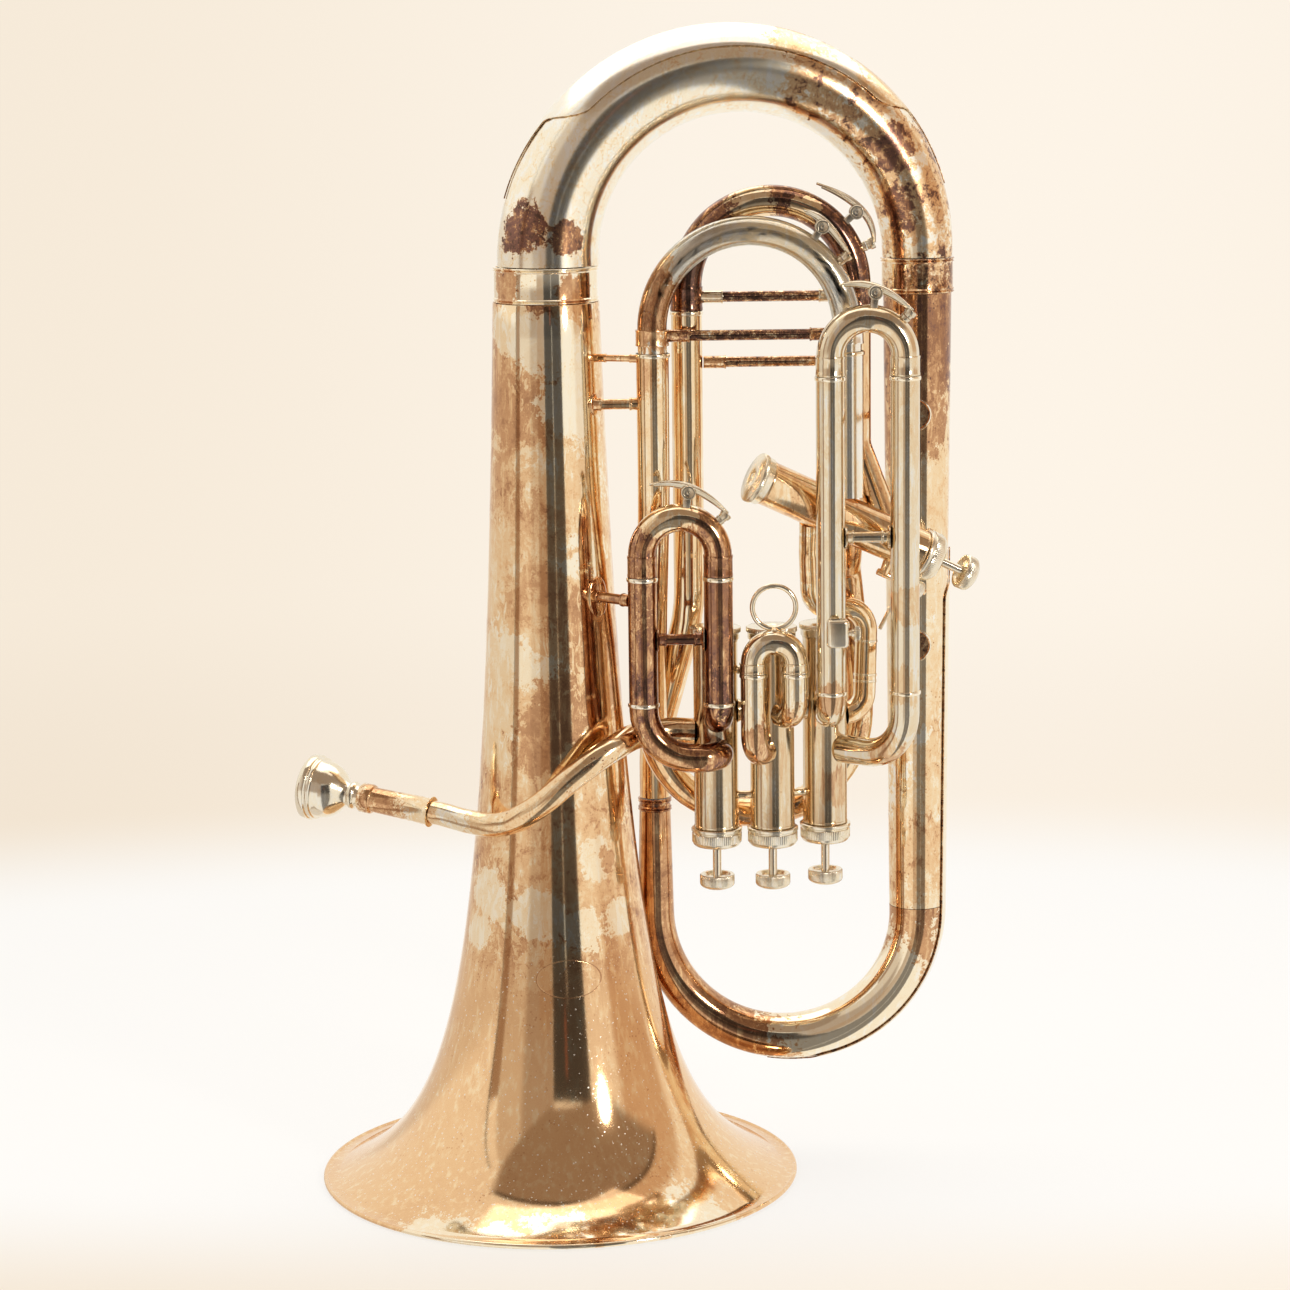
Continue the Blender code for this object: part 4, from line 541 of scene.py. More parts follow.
FERRULE_H = 0.0205
BOW_START_R = 0.0292
BOW_END_R = 0.0203
BRANCH_X = 0.2134
BACK_Y = 0.034
UP = Vector((0, 0, 1))
BOW_Z = BELL_TOP_Z + FERRULE_H
ferrule_plate = plate("ferrule_plate", CREAM, spread=0.12, patch=30, bare=0.2, specks=0.6, shift=1.7,
                      marks=[(P(-0.021, -0.021, 0.5250), 0.012, BROWN, 0.8),
                             (P(0.016, -0.025, 0.5230), 0.012, BROWN, 0.85)])
belongs(ferrule("bell_ferrule_ring", P(0, 0, BELL_TOP_Z), UP, BOW_START_R + 0.0004, FERRULE_H),
        ferrule_plate, "horn", "silver", "bell_ferrule")
belongs(ferrule("branch_ferrule_ring", P(BRANCH_X, BACK_Y, BOW_Z), -UP, BOW_END_R + 0.0003, FERRULE_H),
        plate("branch_ferrule_plate", COPPER, spread=0.35, patch=60, bare=0.4, flecks=0.7, specks=0.9, mottle=0.8,
              shift=2.2),
        "horn", "silver", "outer_branch_ferrule")
INNER_X = 0.0585
BOTTOM_END_R = 0.0093
BOTTOM_TOP_Z = 0.2105
INNER_FERRULE_H = 0.0080
belongs(ferrule("bottom_ferrule_ring", P(INNER_X, BACK_Y, BOTTOM_TOP_Z), UP, BOTTOM_END_R, INNER_FERRULE_H),
        plate("bottom_ferrule_plate", BROWN, patch=60, bare=0.2, shift=4.4),
        "horn", "copper", "bottom_bow_ferrule")


# Top bow. The widest bend, drawn from the bell to the outer branch. It keeps more of its bright plate
# than the rest, with a brown patch above the bell's ferrule and speckled brown towards the branch.
def drawn(name, route, radii, smooth=False):
    """A round tube drawn along a line of points, with its radius at each."""
    line = bpy.data.curves.new(name, "CURVE")
    line.dimensions = "3D"
    line.bevel_depth = 1.0
    line.bevel_resolution = 18
    line.use_fill_caps = True
    if smooth:
        spline = line.splines.new("BEZIER")
        spline.bezier_points.add(len(route) - 1)
        spline.resolution_u = 14
        knots = spline.bezier_points
        for knot, place, radius in zip(knots, route, radii):
            knot.co = place
            knot.radius = radius
            knot.handle_left_type = knot.handle_right_type = "AUTO"
    else:
        spline = line.splines.new("POLY")
        spline.points.add(len(route) - 1)
        for knot, place, radius in zip(spline.points, route, radii):
            knot.co = (*place, 1.0)
            knot.radius = radius
    piece = bpy.data.objects.new(name, line)
    scene.collection.objects.link(piece)
    bpy.ops.object.select_all(action="DESELECT")
    piece.select_set(True)
    bpy.context.view_layer.objects.active = piece
    bpy.ops.object.convert(target="MESH")
    piece = bpy.context.object
    piece.name = name
    bpy.ops.object.mode_set(mode="EDIT")
    bpy.ops.mesh.select_all(action="SELECT")
    bpy.ops.mesh.remove_doubles(threshold=1e-6)
    bpy.ops.mesh.normals_make_consistent(inside=False)
    bpy.ops.object.mode_set(mode="OBJECT")
    bpy.ops.object.shade_smooth_by_angle(angle=math.radians(50))
    return piece


def run_of(route):
    """Length along a route at each of its points."""
    run = [0.0]
    for a, b in zip(route, route[1:]):
        run.append(run[-1] + (b - a).length)
    return run


def evenly(route, first, last):
    """Radius at each point of a route that narrows evenly along its length."""
    run = run_of(route)
    return [first + (last - first) * s / run[-1] for s in run]


LEAD_IN = 0.0030
TOP_BOW_X = 0.0015
BOW_STEPS = 72
bow_r = (BRANCH_X - TOP_BOW_X) / 2
bow_line = [P(TOP_BOW_X, 0, BOW_Z + 0.0003)]
for k in range(BOW_STEPS + 1):
    a = math.pi * k / BOW_STEPS
    bow_line.append(P(TOP_BOW_X + bow_r * (1 - math.cos(a)), BACK_Y * (1 - math.cos(a)) / 2,
                      BOW_Z + LEAD_IN + bow_r * math.sin(a)))
bow_line.append(P(BRANCH_X, BACK_Y, BOW_Z + 0.0003))
bow_radii = evenly(bow_line, BOW_START_R, BOW_END_R)
belongs(drawn("top_bow_tube", bow_line, bow_radii),
        plate("top_bow_plate", SILVER + 0.10, spread=0.10, patch=20, bare=0.0, flecks=0.8, specks=0.25, wipes=0.5,
              mottle=0.85, shift=6.3, rough=0.14,
              marks=[(P(-0.016, -0.026, 0.556), 0.017, PURPLE, 1.0),
                     (P(0.012, -0.026, 0.551), 0.009, BROWN + 0.04, 1.0),
                     (P(0.158, 0.000, 0.636), 0.024, COPPER, 0.8),
                     (P(0.186, 0.002, 0.616), 0.026, COPPER, 0.9),
                     (P(0.212, 0.008, 0.575), 0.040, TAN, 1.0),
                     (P(0.197, 0.002, 0.598), 0.016, PURPLE, 0.95),
                     (P(0.198, 0.004, 0.562), 0.018, PURPLE, 0.95)]),
        "horn", "silver", "top_bow")


# Guards. Thin plates soldered along the outside of both bows to take the knocks. Each is cut to an
# ogee point at its ends and follows the bow with a fine step at its edge.
# The guards' edge faces are painted dark copper: partly tarnish in the seam, partly painted shade along the step
# between guard and bow.
edge_grime_and_shade = plate("seam_grime_and_shade", COPPER, spread=0.2, patch=60, flecks=0.8, mottle=0.8, shift=0.4, rough=0.3)


def guard(name, route, radii, first, last, centre, half, rows_across=16, thick=0.0008, gap=0.0003, tips=0.045):
    """Grid laid over the outer side of a bow, cut to a bracket with a long thin point at both ends."""
    run = run_of(route)
    start, stop = run[first], run[last]
    count = 150
    bpy.ops.object.select_all(action="DESELECT")
    bpy.ops.mesh.primitive_grid_add(x_subdivisions=count, y_subdivisions=rows_across, size=2.0)
    piece = bpy.context.object
    piece.name = name
    piece.data.materials.append(None)
    piece.data.materials.append(edge_grime_and_shade)
    for vertex in piece.data.vertices:
        u, v = vertex.co.x * 0.5 + 0.5, vertex.co.y
        s = start + (stop - start) * u
        i = max(j for j in range(len(run) - 1) if run[j] <= s + 1e-9)
        t = min((s - run[i]) / (run[i + 1] - run[i]), 1.0)
        here = route[i].lerp(route[i + 1], t)
        radius = radii[i] + (radii[i + 1] - radii[i]) * t
        back = (route[i] - route[i - 1]).normalized() if i else (route[1] - route[0]).normalized()
        fore = (route[i + 1] - route[i]).normalized()
        tangent = back.lerp(fore, 0.5 + 0.5 * t).normalized()
        out = here - centre
        out = (out - tangent * out.dot(tangent)).normalized()
        near = min(s - start, stop - s) / tips
        if near < 0.68:
            share = 0.02 + 0.20 * (near / 0.68) ** 1.6
        else:
            t_end = min((near - 0.68) / 0.32, 1.0)
            share = 0.22 + 0.78 * (1 - (1 - t_end) ** 2.2)
        a = half * share * v
        vertex.co = here + (out * math.cos(a) + tangent.cross(out) * math.sin(a)) * (radius + gap)
    bpy.ops.object.mode_set(mode="EDIT")
    bpy.ops.mesh.select_all(action="SELECT")
    bpy.ops.mesh.normals_make_consistent(inside=False)
    bpy.ops.object.mode_set(mode="OBJECT")
    middle = piece.data.polygons[len(piece.data.polygons) // 2]
    if middle.normal.dot(middle.center - centre) < 0:
        bpy.ops.object.mode_set(mode="EDIT")
        bpy.ops.mesh.flip_normals()
        bpy.ops.object.mode_set(mode="OBJECT")
    skin = piece.modifiers.new("thickness", "SOLIDIFY")
    skin.thickness = thick
    skin.offset = 1.0
    # The rim faces take the second slot, the dark edge paint, which is partly painted shade.
    skin.material_offset_rim = 1
    bpy.ops.object.modifier_apply(modifier=skin.name)
    return rounded(piece, 0.0002)


bow_centre = P(TOP_BOW_X + bow_r, BACK_Y / 2, BOW_Z + LEAD_IN)
belongs(guard("top_guard_plate", bow_line, bow_radii, 7, 66, bow_centre, math.radians(60), tips=0.058),
        plate("top_guard_plating", SILVER, spread=0.08, patch=24, bare=0.0, flecks=0.8, specks=0.2, mottle=0.5,
              shift=8.3, rough=0.17, marks=[(P(0.150, 0.0, 0.668), 0.024, COPPER, 0.6), (P(0.205, 0.03, 0.62), 0.034, TAN, 0.8)]),
        "horn", "silver", "top_bow_guard")


# Outer branch and bottom bow. The branch drops from the top bow and narrows into the bottom bow, which
# turns back up to the valves. Two thin stays with almond flanges hold the third slide to the branch.
ARC_Z = 0.1515
BRANCH_END_R = 0.0163
FRONT_Y = -0.046
SLEEVE_R = 0.00825
ROD_R = 0.00335
THIN_ROD_R = 0.0022
S3_LEFT_X = 0.158967
S3_RIGHT_X = S3_LEFT_X + 0.0417


def joined(name, *parts):
    """Several shells as one piece. Those with no finish of their own take the whole piece's."""
    bpy.ops.object.select_all(action="DESELECT")
    for part in parts:
        part.select_set(True)
        if not part.data.materials:
            part.data.materials.append(None)
    bpy.context.view_layer.objects.active = parts[0]
    bpy.ops.object.join()
    parts[0].name = name
    return parts[0]


def finished(piece, material):
    """Gives one part of a piece its own finish before the parts are joined."""
    piece.data.materials.append(material)
    return piece


def stay(name, start, end, radius, metal=None, sleeve=None):
    """Soldered stay: a rod with a sleeve over each end, closed by a turned collar."""
    length = (end - start).length
    if length < 0.022:
        half = [(0, 0), (radius * 1.35, 0), (radius * 1.35, 0.0008), (radius, 0.0018)]
        outline = half + [(r, length - z) for r, z in half[::-1]]
        return rounded(turned(name, outline, start, end - start, 32), 0.0002)
    reach = min(0.0130, length * 0.2)
    rod = turned(name, [(0, 0), (radius * 0.90, 0), (radius * 0.90, length), (0, length)], start, end - start, 32)
    parts = [finished(rod, metal) if metal else rod]
    for foot, way in ((start, end - start), (end, start - end)):
        outline = [(radius * 0.88, 0), (radius * 1.06, 0), (radius * 1.06, reach - 0.0014),
                   (radius * 1.16, reach - 0.0010), (radius * 1.16, reach - 0.0002), (radius * 0.88, reach)]
        end_sleeve = rounded(turned("sleeve", outline + outline[:1], foot, way, 32), 0.0001)
        parts.append(finished(end_sleeve, sleeve) if sleeve else end_sleeve)
    return joined(name, *parts)


def saddle_flange(name, centre, toward, tube_r, radius):
    """Round flange with a raised rim, bent to lie on an upright tube."""
    outline = [(0, 0), (radius, 0), (radius, 0.0010), (radius - 0.0005, 0.0014), (radius - 0.0010, 0.0010),
               (radius - 0.0014, 0.0006), (0.0030, 0.0008), (0, 0.0010)]
    piece = turned(name, outline, centre, toward, 64)
    across = toward.cross(UP).normalized()
    for vertex in piece.data.vertices:
        off = (vertex.co - centre).dot(across)
        vertex.co -= toward * (tube_r - math.sqrt(max(tube_r * tube_r - off * off, 0.0)))
    return piece


ring_plate = plate("ring_plate", CREAM - 0.04, spread=0.14, patch=80, bare=0.0, specks=0.6, mottle=0.4, shift=1.1,
                   rough=0.09)
flange_plate = plate("flange_plate", BROWN - 0.04, spread=0.4, patch=90, bare=0.3, flecks=0.8, mottle=0.6, shift=0.9)
branch_line = [P(BRANCH_X, BACK_Y, BELL_TOP_Z), P(BRANCH_X, BACK_Y, 0.40), P(BRANCH_X, BACK_Y, 0.30),
               P(BRANCH_X, BACK_Y, ARC_Z + 0.0003)]
branch_parts = [drawn("branch", branch_line, evenly(branch_line, BOW_END_R - 0.0005, BRANCH_END_R))]
for z in (0.4455, 0.3104):
    start = P(BRANCH_X, BACK_Y, z)
    end = P(S3_RIGHT_X, FRONT_Y, z)
    toward_slide = (end - start).normalized()
    branch_parts.append(stay("stay", start + toward_slide * 0.0170, end - toward_slide * (SLEEVE_R + 0.0003), THIN_ROD_R))
    here_r = BRANCH_END_R + (BOW_END_R - 0.0005 - BRANCH_END_R) * (z - ARC_Z) / (BELL_TOP_Z - ARC_Z)
    foot = start + toward_slide * (here_r - 0.0002)
    flange = saddle_flange("flange", foot, toward_slide, here_r, 0.0096)
    branch_parts.append(finished(flange, flange_plate))
    rim = turned("flange_rim", [(0.0090, 0), (0.0097, 0), (0.0099, 0.0008), (0.0096, 0.0015), (0.0091, 0.0015),
                                (0.0088, 0.0008), (0.0090, 0)], foot, toward_slide, 64)
    across = toward_slide.cross(UP).normalized()
    for vertex in rim.data.vertices:
        off = (vertex.co - start).dot(across)
        vertex.co -= toward_slide * (here_r - math.sqrt(here_r * here_r - off * off))
    branch_parts.append(finished(rim, ring_plate))
belongs(joined("outer_branch_tube", *branch_parts),
        plate("branch_plate", PALE_GOLD, spread=0.20, patch=22, streak=0.6, bare=0.35, flecks=0.7, specks=0.9,
              mottle=0.4, scrub=0.7, shift=9.1,
              marks=[(P(BRANCH_X, BACK_Y - 0.01, 0.495), 0.045, BROWN + 0.04, 0.95),
                     (P(BRANCH_X - 0.006, BACK_Y - 0.01, 0.440), 0.030, BROWN - 0.04, 0.9),
                     (P(BRANCH_X, BACK_Y - 0.01, 0.180), 0.030, COPPER, 0.5)]),
        "horn", "gilded", "outer_branch")

bottom_r = (BRANCH_X - INNER_X) / 2
bottom_line = [P(BRANCH_X, BACK_Y, ARC_Z)]
for k in range(BOW_STEPS + 1):
    a = math.pi * k / BOW_STEPS
    bottom_line.append(P(BRANCH_X - bottom_r * (1 - math.cos(a)), BACK_Y, ARC_Z - LEAD_IN - bottom_r * math.sin(a)))
bottom_line.append(P(INNER_X, BACK_Y, BOTTOM_TOP_Z))
bottom_radii = evenly(bottom_line, BRANCH_END_R, BOTTOM_END_R)
belongs(drawn("bottom_bow_tube", bottom_line, bottom_radii),
        plate("bottom_bow_plate", COPPER + 0.07, spread=0.14, patch=18, bare=0.0, flecks=0.6, mottle=0.14, wipes=0.6,
              shift=5.2,
              marks=[(P(0.110, BACK_Y - 0.010, 0.062), 0.030, BROWN, 0.8),
                     (P(0.190, BACK_Y, 0.075), 0.066, CREAM - 0.02, 0.95)]),
        "horn", "copper", "bottom_bow")

GUARD_RISE = 0.214
guard_line = [P(BRANCH_X, BACK_Y, ARC_Z + GUARD_RISE * k / 12) for k in range(12, 0, -1)]
guard_radii = [BRANCH_END_R + (BOW_END_R - 0.0005 - BRANCH_END_R) * GUARD_RISE * k / 12 / (BELL_TOP_Z - ARC_Z)
               for k in range(12, 0, -1)]
belongs(guard("bottom_guard_plate", guard_line + bottom_line, guard_radii + bottom_radii, 0, 12 + 40,
              P(INNER_X + bottom_r, BACK_Y, ARC_Z - LEAD_IN), math.radians(33), tips=0.03),
        plate("bottom_guard_plating", CREAM - 0.06, spread=0.15, patch=22, flecks=0.5, specks=0.6, shift=7.7),
        "horn", "silver", "bottom_bow_guard")


# Inner branch. It carries the wind from the main slide down to the bottom bow, behind the valves.
def bent(corners, bends, steps=10):
    """Line through corners, each inner corner rounded to its own radius."""
    line = [corners[0].copy()]
    for i, radius in enumerate(bends, start=1):
        before = (corners[i - 1] - corners[i]).normalized()
        after = (corners[i + 1] - corners[i]).normalized()
        inside = before.angle(after)
        reach = radius / math.tan(inside / 2)
        centre = corners[i] + (before + after).normalized() * (radius / math.sin(inside / 2))
        spoke = corners[i] + before * reach - centre
        axis = before.cross(after).normalized()
        count = max(3, round(steps * (math.pi - inside) / (math.pi / 2)))
        for k in range(count + 1):
            point = centre + Matrix.Rotation(-(math.pi - inside) * k / count, 3, axis) @ spoke
            if (point - line[-1]).length > 0.0002:
                line.append(point)
    if (corners[-1] - line[-1]).length > 0.0002:
        line.append(corners[-1].copy())
    return line


def mouth(name, at, along, radius, width=0.0024, proud=0.0007):
    """Rounded bright ring at the open end of a slide's outer tube."""
    outline = [(radius - 0.0015, 0), (radius + proud * 0.6, 0), (radius + proud, width * 0.25),
               (radius + proud, width * 0.75), (radius + proud * 0.6, width), (radius - 0.0015, width)]
    return finished(rounded(turned(name, outline + outline[:1], at, along, 64), 0.0001), ring_plate)


def band(name, at, along, radius, width, proud):
    """Plain ferrule over a tube, with a fine bead at both edges."""
    outline = [(radius - 0.0012, 0), (radius + proud, 0), (radius + proud, width * 0.12),
               (radius + proud * 0.6, width * 0.16), (radius + proud * 0.6, width * 0.84),
               (radius + proud, width * 0.88), (radius + proud, width), (radius - 0.0012, width)]
    return rounded(turned(name, outline + outline[:1], at, along, 64), 0.0001)


MAIN_SLEEVE_R = 0.0089
M_LEFT_X, M_RIGHT_X = 0.0797, 0.1756
M_Y = 0.0010
M_SEAT_Z = 0.5081
inner_line = bent([P(M_LEFT_X, M_Y, M_SEAT_Z), P(M_LEFT_X, M_Y, 0.3350), P(INNER_X, BACK_Y, 0.2500),
                   P(INNER_X, BACK_Y, BOTTOM_TOP_Z + INNER_FERRULE_H + 0.0003)], [0.06, 0.05])
gold_plate = plate("gold_plate", PALE_GOLD + 0.08, spread=0.24, patch=20, streak=0.3, bare=0.25, wipes=0.8, mottle=0.25,
                   shift=1.2)
belongs(joined("inner_branch_tube", drawn("tube", inner_line, [MAIN_SLEEVE_R] * len(inner_line)),
               mouth("ring", P(M_LEFT_X, M_Y, M_SEAT_Z), -UP, MAIN_SLEEVE_R)),
        gold_plate, "horn", "gilded", "inner_branch")


# Valves 1 to 4. Each casing is a drawn tube with a turned ring at both ends, closed by screw caps. The
# caps and the domed buttons are nickel silver with milled edges, so they keep their grey shine.
CASING_Z = 0.2125
CASING_L = 0.1095
CASING_R = 0.0130
NECK_R = 0.0121
NECK_H = 0.0050
CAP_R = 0.0147
CAP_H = 0.0115
BOTTOM_CAP_H = 0.0080
STROKE = 0.0155
FELT = 0.0011
STEM_R = 0.0025
BUTTON_R = 0.0101
BUTTON_H = 0.0089
VALVE_Y = -0.0200
VALVE_1_X = 0.0940
VALVE_PITCH = 0.0322
THIRD_SET_BACK = 0.0095
KNUCKLE_R = 0.0060
VALVE_2_X = VALVE_1_X + VALVE_PITCH
VALVE_3_X = VALVE_2_X + math.sqrt(VALVE_PITCH ** 2 - THIRD_SET_BACK ** 2)
VALVE_3_Y = VALVE_Y + THIRD_SET_BACK
VALVE_4_START = Vector((0.1156, -0.0350, 0.4175))
VALVE_4_L = 0.1225
axis_4 = Vector((0.8651, 0.2502, -0.4347)).normalized()
valves = [(P(VALVE_1_X, VALVE_Y, CASING_Z), UP, CASING_L), (P(VALVE_2_X, VALVE_Y, CASING_Z), UP, CASING_L),
          (P(VALVE_3_X, VALVE_3_Y, CASING_Z), UP, CASING_L),
          (P(*VALVE_4_START) + axis_4 * (VALVE_4_L - CAP_H), -axis_4, VALVE_4_L - CAP_H - BOTTOM_CAP_H)]


def milled(piece, foot, along, low, high, radius, depth=0.00028, sides=160):
    """Every second line of facets on a band is pushed in, so the edge has a fine milled grip."""
    along = along.normalized()
    for vertex in piece.data.vertices:
        offset = vertex.co - foot
        height = offset.dot(along)
        flat = offset - along * height
        if low <= height <= high and flat.length > radius - 0.0004:
            across = Vector((0, 0, 1)).rotation_difference(along).inverted() @ flat
            turn = round(math.atan2(across.y, across.x) / (2 * math.pi / sides))
            if turn % 2:
                vertex.co -= flat.normalized() * depth


nickel = plate("nickel_silver", CREAM - 0.06, spread=0.12, patch=60, bare=0.0, specks=0.5, shade=0.12, shift=2.0,
               rough=0.20)
casing_plate = plate("casing_plate", CREAM + 0.08, spread=0.26, patch=42, streak=0.07, bare=0.10, wipes=0.8, mottle=0.25,
                     shade=0.22, scrub=0.4, shift=3.3, rough=0.12,
                     marks=[(P(VALVE_3_X + 0.007, VALVE_3_Y - 0.011, 0.235), 0.013, COPPER, 0.7),
                            (P(VALVE_3_X + 0.004, VALVE_3_Y - 0.012, 0.205), 0.010, COPPER, 0.6),
                            (P(VALVE_2_X, VALVE_Y - 0.012, 0.255), 0.012, TAN, 0.6)])
copper_plate = plate("copper_plate", COPPER + 0.09, spread=0.36, patch=22, streak=0.6, bare=0.20, flecks=0.7, mottle=0.2,
                     wipes=0.6, scrub=0.5, shift=4.0,
                     marks=[(P(0.0660, -0.050, 0.402), 0.015, CREAM + 0.12, 0.8),
                            (P(0.0955, -0.052, 0.350), 0.034, BROWN + 0.05, 0.85),
                            (P(0.0527, -0.052, 0.330), 0.020, BROWN, 0.6),
                            (P(0.0700, -0.052, 0.252), 0.014, COPPER - 0.04, 0.7)])
for n, (start, up, length) in enumerate(valves, start=1):
    outline = [(0.0114, -NECK_H), (NECK_R, -NECK_H), (NECK_R, 0), (CASING_R, 0), (CASING_R, 0.0012),
               (CASING_R - 0.0002, 0.0014), (CASING_R - 0.0002, length - 0.0014), (CASING_R, length - 0.0012),
               (CASING_R, length), (NECK_R, length), (NECK_R, length + NECK_H), (0.0114, length + NECK_H)]
    parts = [rounded(turned("casing", outline + outline[:1], start, up), 0.00015)]
    if n == 2:
        middle = P(VALVE_2_X, VALVE_Y, 0)
        for x, y in ((VALVE_1_X, VALVE_Y), (VALVE_3_X, VALVE_3_Y)):
            other = P(x, y, 0)
            gap = (other - middle).normalized()
            for z, r in ((0.2805, KNUCKLE_R), (0.2310, 0.0022), (0.3040, 0.0022)):
                a = middle + gap * (CASING_R - 0.0012) + UP * z
                b = other - gap * (CASING_R - 0.0004) + UP * z
                half = (b - a).length / 2
                parts.append(rounded(turned("stub", [(0, 0), (r * 1.2, 0), (r, half * 0.5), (r, half * 1.5),
                                                     (r * 1.2, half * 2), (0, half * 2)], a, b - a, 32), 0.0001))
    if n == 4:
        cap_4_end = P(*VALVE_4_START) + axis_4 * VALVE_4_L
        below = (-UP - axis_4 * (-UP).dot(axis_4)).normalized()
        LOCK_OFF = 0.0200
        post_line = below * LOCK_OFF
        lug = cap_4_end - axis_4 * 0.026
        parts.append(rounded(turned("lug", [(0, 0), (0.0036, 0), (0.0028, 0.006), (0.0028, 0.008), (0, 0.008)],
                                    lug + below * (CASING_R - 0.0008), post_line, 32), 0.0002))
        parts.append(rounded(turned("post", [(0, 0), (0.0020, 0), (0.0020, 0.032), (0, 0.032)],
                                    cap_4_end - axis_4 * 0.030 + post_line, axis_4, 32), 0.0002))
    belongs(joined(f"casing_{n}", *parts), casing_plate if n != 4 else gold_plate, "horn",
            "silver" if n != 4 else "gilded", f"valve_casing_{n}")

    foot = start - up * CAP_H
    top = [(STEM_R + 0.0001, 0.0012), (STEM_R + 0.0014, 0.0006), (0.0070, 0.0), (CAP_R - 0.0036, 0),
           (CAP_R - 0.0020, 0.0005), (CAP_R - 0.0010, 0.0015), (CAP_R - 0.0006, 0.0026), (CAP_R - 0.0003, 0.0029),
           (CAP_R - 0.0003, 0.0078), (CAP_R - 0.0009, 0.0081), (CAP_R - 0.0009, 0.0088), (CAP_R, 0.0093),
           (CAP_R, CAP_H - 0.0006), (CAP_R - 0.0005, CAP_H - 0.0003), (NECK_R + 0.0003, CAP_H - 0.0003)]
    lid = turned(f"button_cap_{n}", top, foot, up, 160)
    milled(lid, foot, up, 0.0028, 0.0079, CAP_R)
    belongs(rounded(lid, 0.00008), nickel, "horn", "nickel", f"top_cap_{n}")

    far = start + up * (length + BOTTOM_CAP_H)
    low = [(0, 0.0010), (0.0030, 0.0009), (0.0036, 0.0003), (0.0050, 0.0), (CAP_R - 0.0040, 0), (CAP_R - 0.0030, 0.0004),
           (CAP_R - 0.0004, 0.0006), (CAP_R, 0.0010), (CAP_R, 0.0034), (CAP_R - 0.0008, 0.0038),
           (CAP_R - 0.0008, BOTTOM_CAP_H - 0.0006), (CAP_R - 0.0013, BOTTOM_CAP_H - 0.0003),
           (NECK_R + 0.0003, BOTTOM_CAP_H - 0.0003)]
    lid = turned(f"far_cap_{n}", low, far, -up, 160)
    milled(lid, far, -up, 0.0009, 0.0035, CAP_R)
    belongs(rounded(lid, 0.00008), nickel, "horn", "nickel", f"bottom_cap_{n}")

    head_z = -CAP_H - STROKE - FELT
    button = [(0, -0.0058), (STEM_R, -0.0058), (STEM_R, head_z - 0.0014), (BUTTON_R - 0.0030, head_z - 0.0016),
              (BUTTON_R - 0.0022, head_z - 0.0002), (BUTTON_R - 0.0006, head_z), (BUTTON_R, head_z - 0.0008),
              (BUTTON_R, head_z - BUTTON_H + 0.0032), (BUTTON_R - 0.0005, head_z - BUTTON_H + 0.0022),
              (BUTTON_R - 0.0016, head_z - BUTTON_H + 0.0012), (BUTTON_R - 0.0036, head_z - BUTTON_H + 0.0004),
              (BUTTON_R - 0.0062, head_z - BUTTON_H), (0, head_z - BUTTON_H)]
    knob = turned(f"button_{n}", button, start, up, 160)
    milled(knob, start, up, head_z - BUTTON_H + 0.0031, head_z - 0.0007, BUTTON_R)
    belongs(rounded(knob, 0.0001), nickel, f"valve_{n}", "nickel", f"finger_button_{n}")


# Slides. The outer tubes are soldered to the casings, and the inner legs slide in them. Each tube has
# a ring at its mouth, and each bow a ferrule over both legs.
LEG_R = 0.0075
BOW_R = 0.0079
LEG_2_R = 0.0066
SLEEVE_2_R = 0.0074
LEG_4_R = 0.0083
SLEEVE_4_R = 0.0093
MAIN_LEG_R = 0.0080
ELBOW_R = 0.0130
LEG_IN = 0.0540
LEG_2_IN = 0.0120


def outer_tube(name, line, radius, end_radius=None, rings=(), extra=()):
    """Fixed tube with a ring at its mouth, and bands at lengths along it."""
    first = (line[1] - line[0]).normalized()
    parts = [drawn("tube", line, evenly(line, radius, end_radius or radius)), mouth("ring", line[0], first, radius)]
    for s in rings:
        parts.append(mouth("ring", line[0] + first * s, first, radius, 0.0022))
    return joined(name, *parts, *extra)


def trimmed(line, amount):
    """The line cut back at its far end, where it meets a casing."""
    line = [p.copy() for p in line]
    while (line[-1] - line[-2]).length <= amount:
        amount -= (line[-1] - line[-2]).length
        line.pop()
    line[-1] += (line[-2] - line[-1]).normalized() * amount
    return line


def flange_stay(name, a, b, radius=ROD_R):
    """Stay with an almond flange soldered to the tube at each end."""
    line = b - a
    along = line.normalized()
    parts = [stay(name, a, b, radius)]
    for at, way in ((a, along), (b, -along)):
        pad = turned("flange", [(0, 0), (0.0064, 0), (0.0064, 0.0006), (0.0058, 0.0011), (0, 0.0014)], at, way, 40)
        for vertex in pad.data.vertices:
            offset = vertex.co - at
            vertex.co.z = at.z + offset.z * 1.05
        parts.append(pad)
    return finished(joined(name, *parts), ring_plate)


def bell_pad(turn, z, half_w, half_h):
    """Oval flange that lies on the bell's side under the end of a stay."""
    pad = turned("pad", [(0, 0.0013), (0.55, 0.0013), (0.86, 0.0010), (0.97, 0.0006), (1.0, -0.0002), (0, -0.0002)],
                 sides=48)
    for vertex in pad.data.vertices:
        x, y, lift = vertex.co
        vertex.co = on_bell(turn + math.degrees(x * half_w / flare(z)), z + y * half_h, lift)
    return rounded(pad, 0.0001)


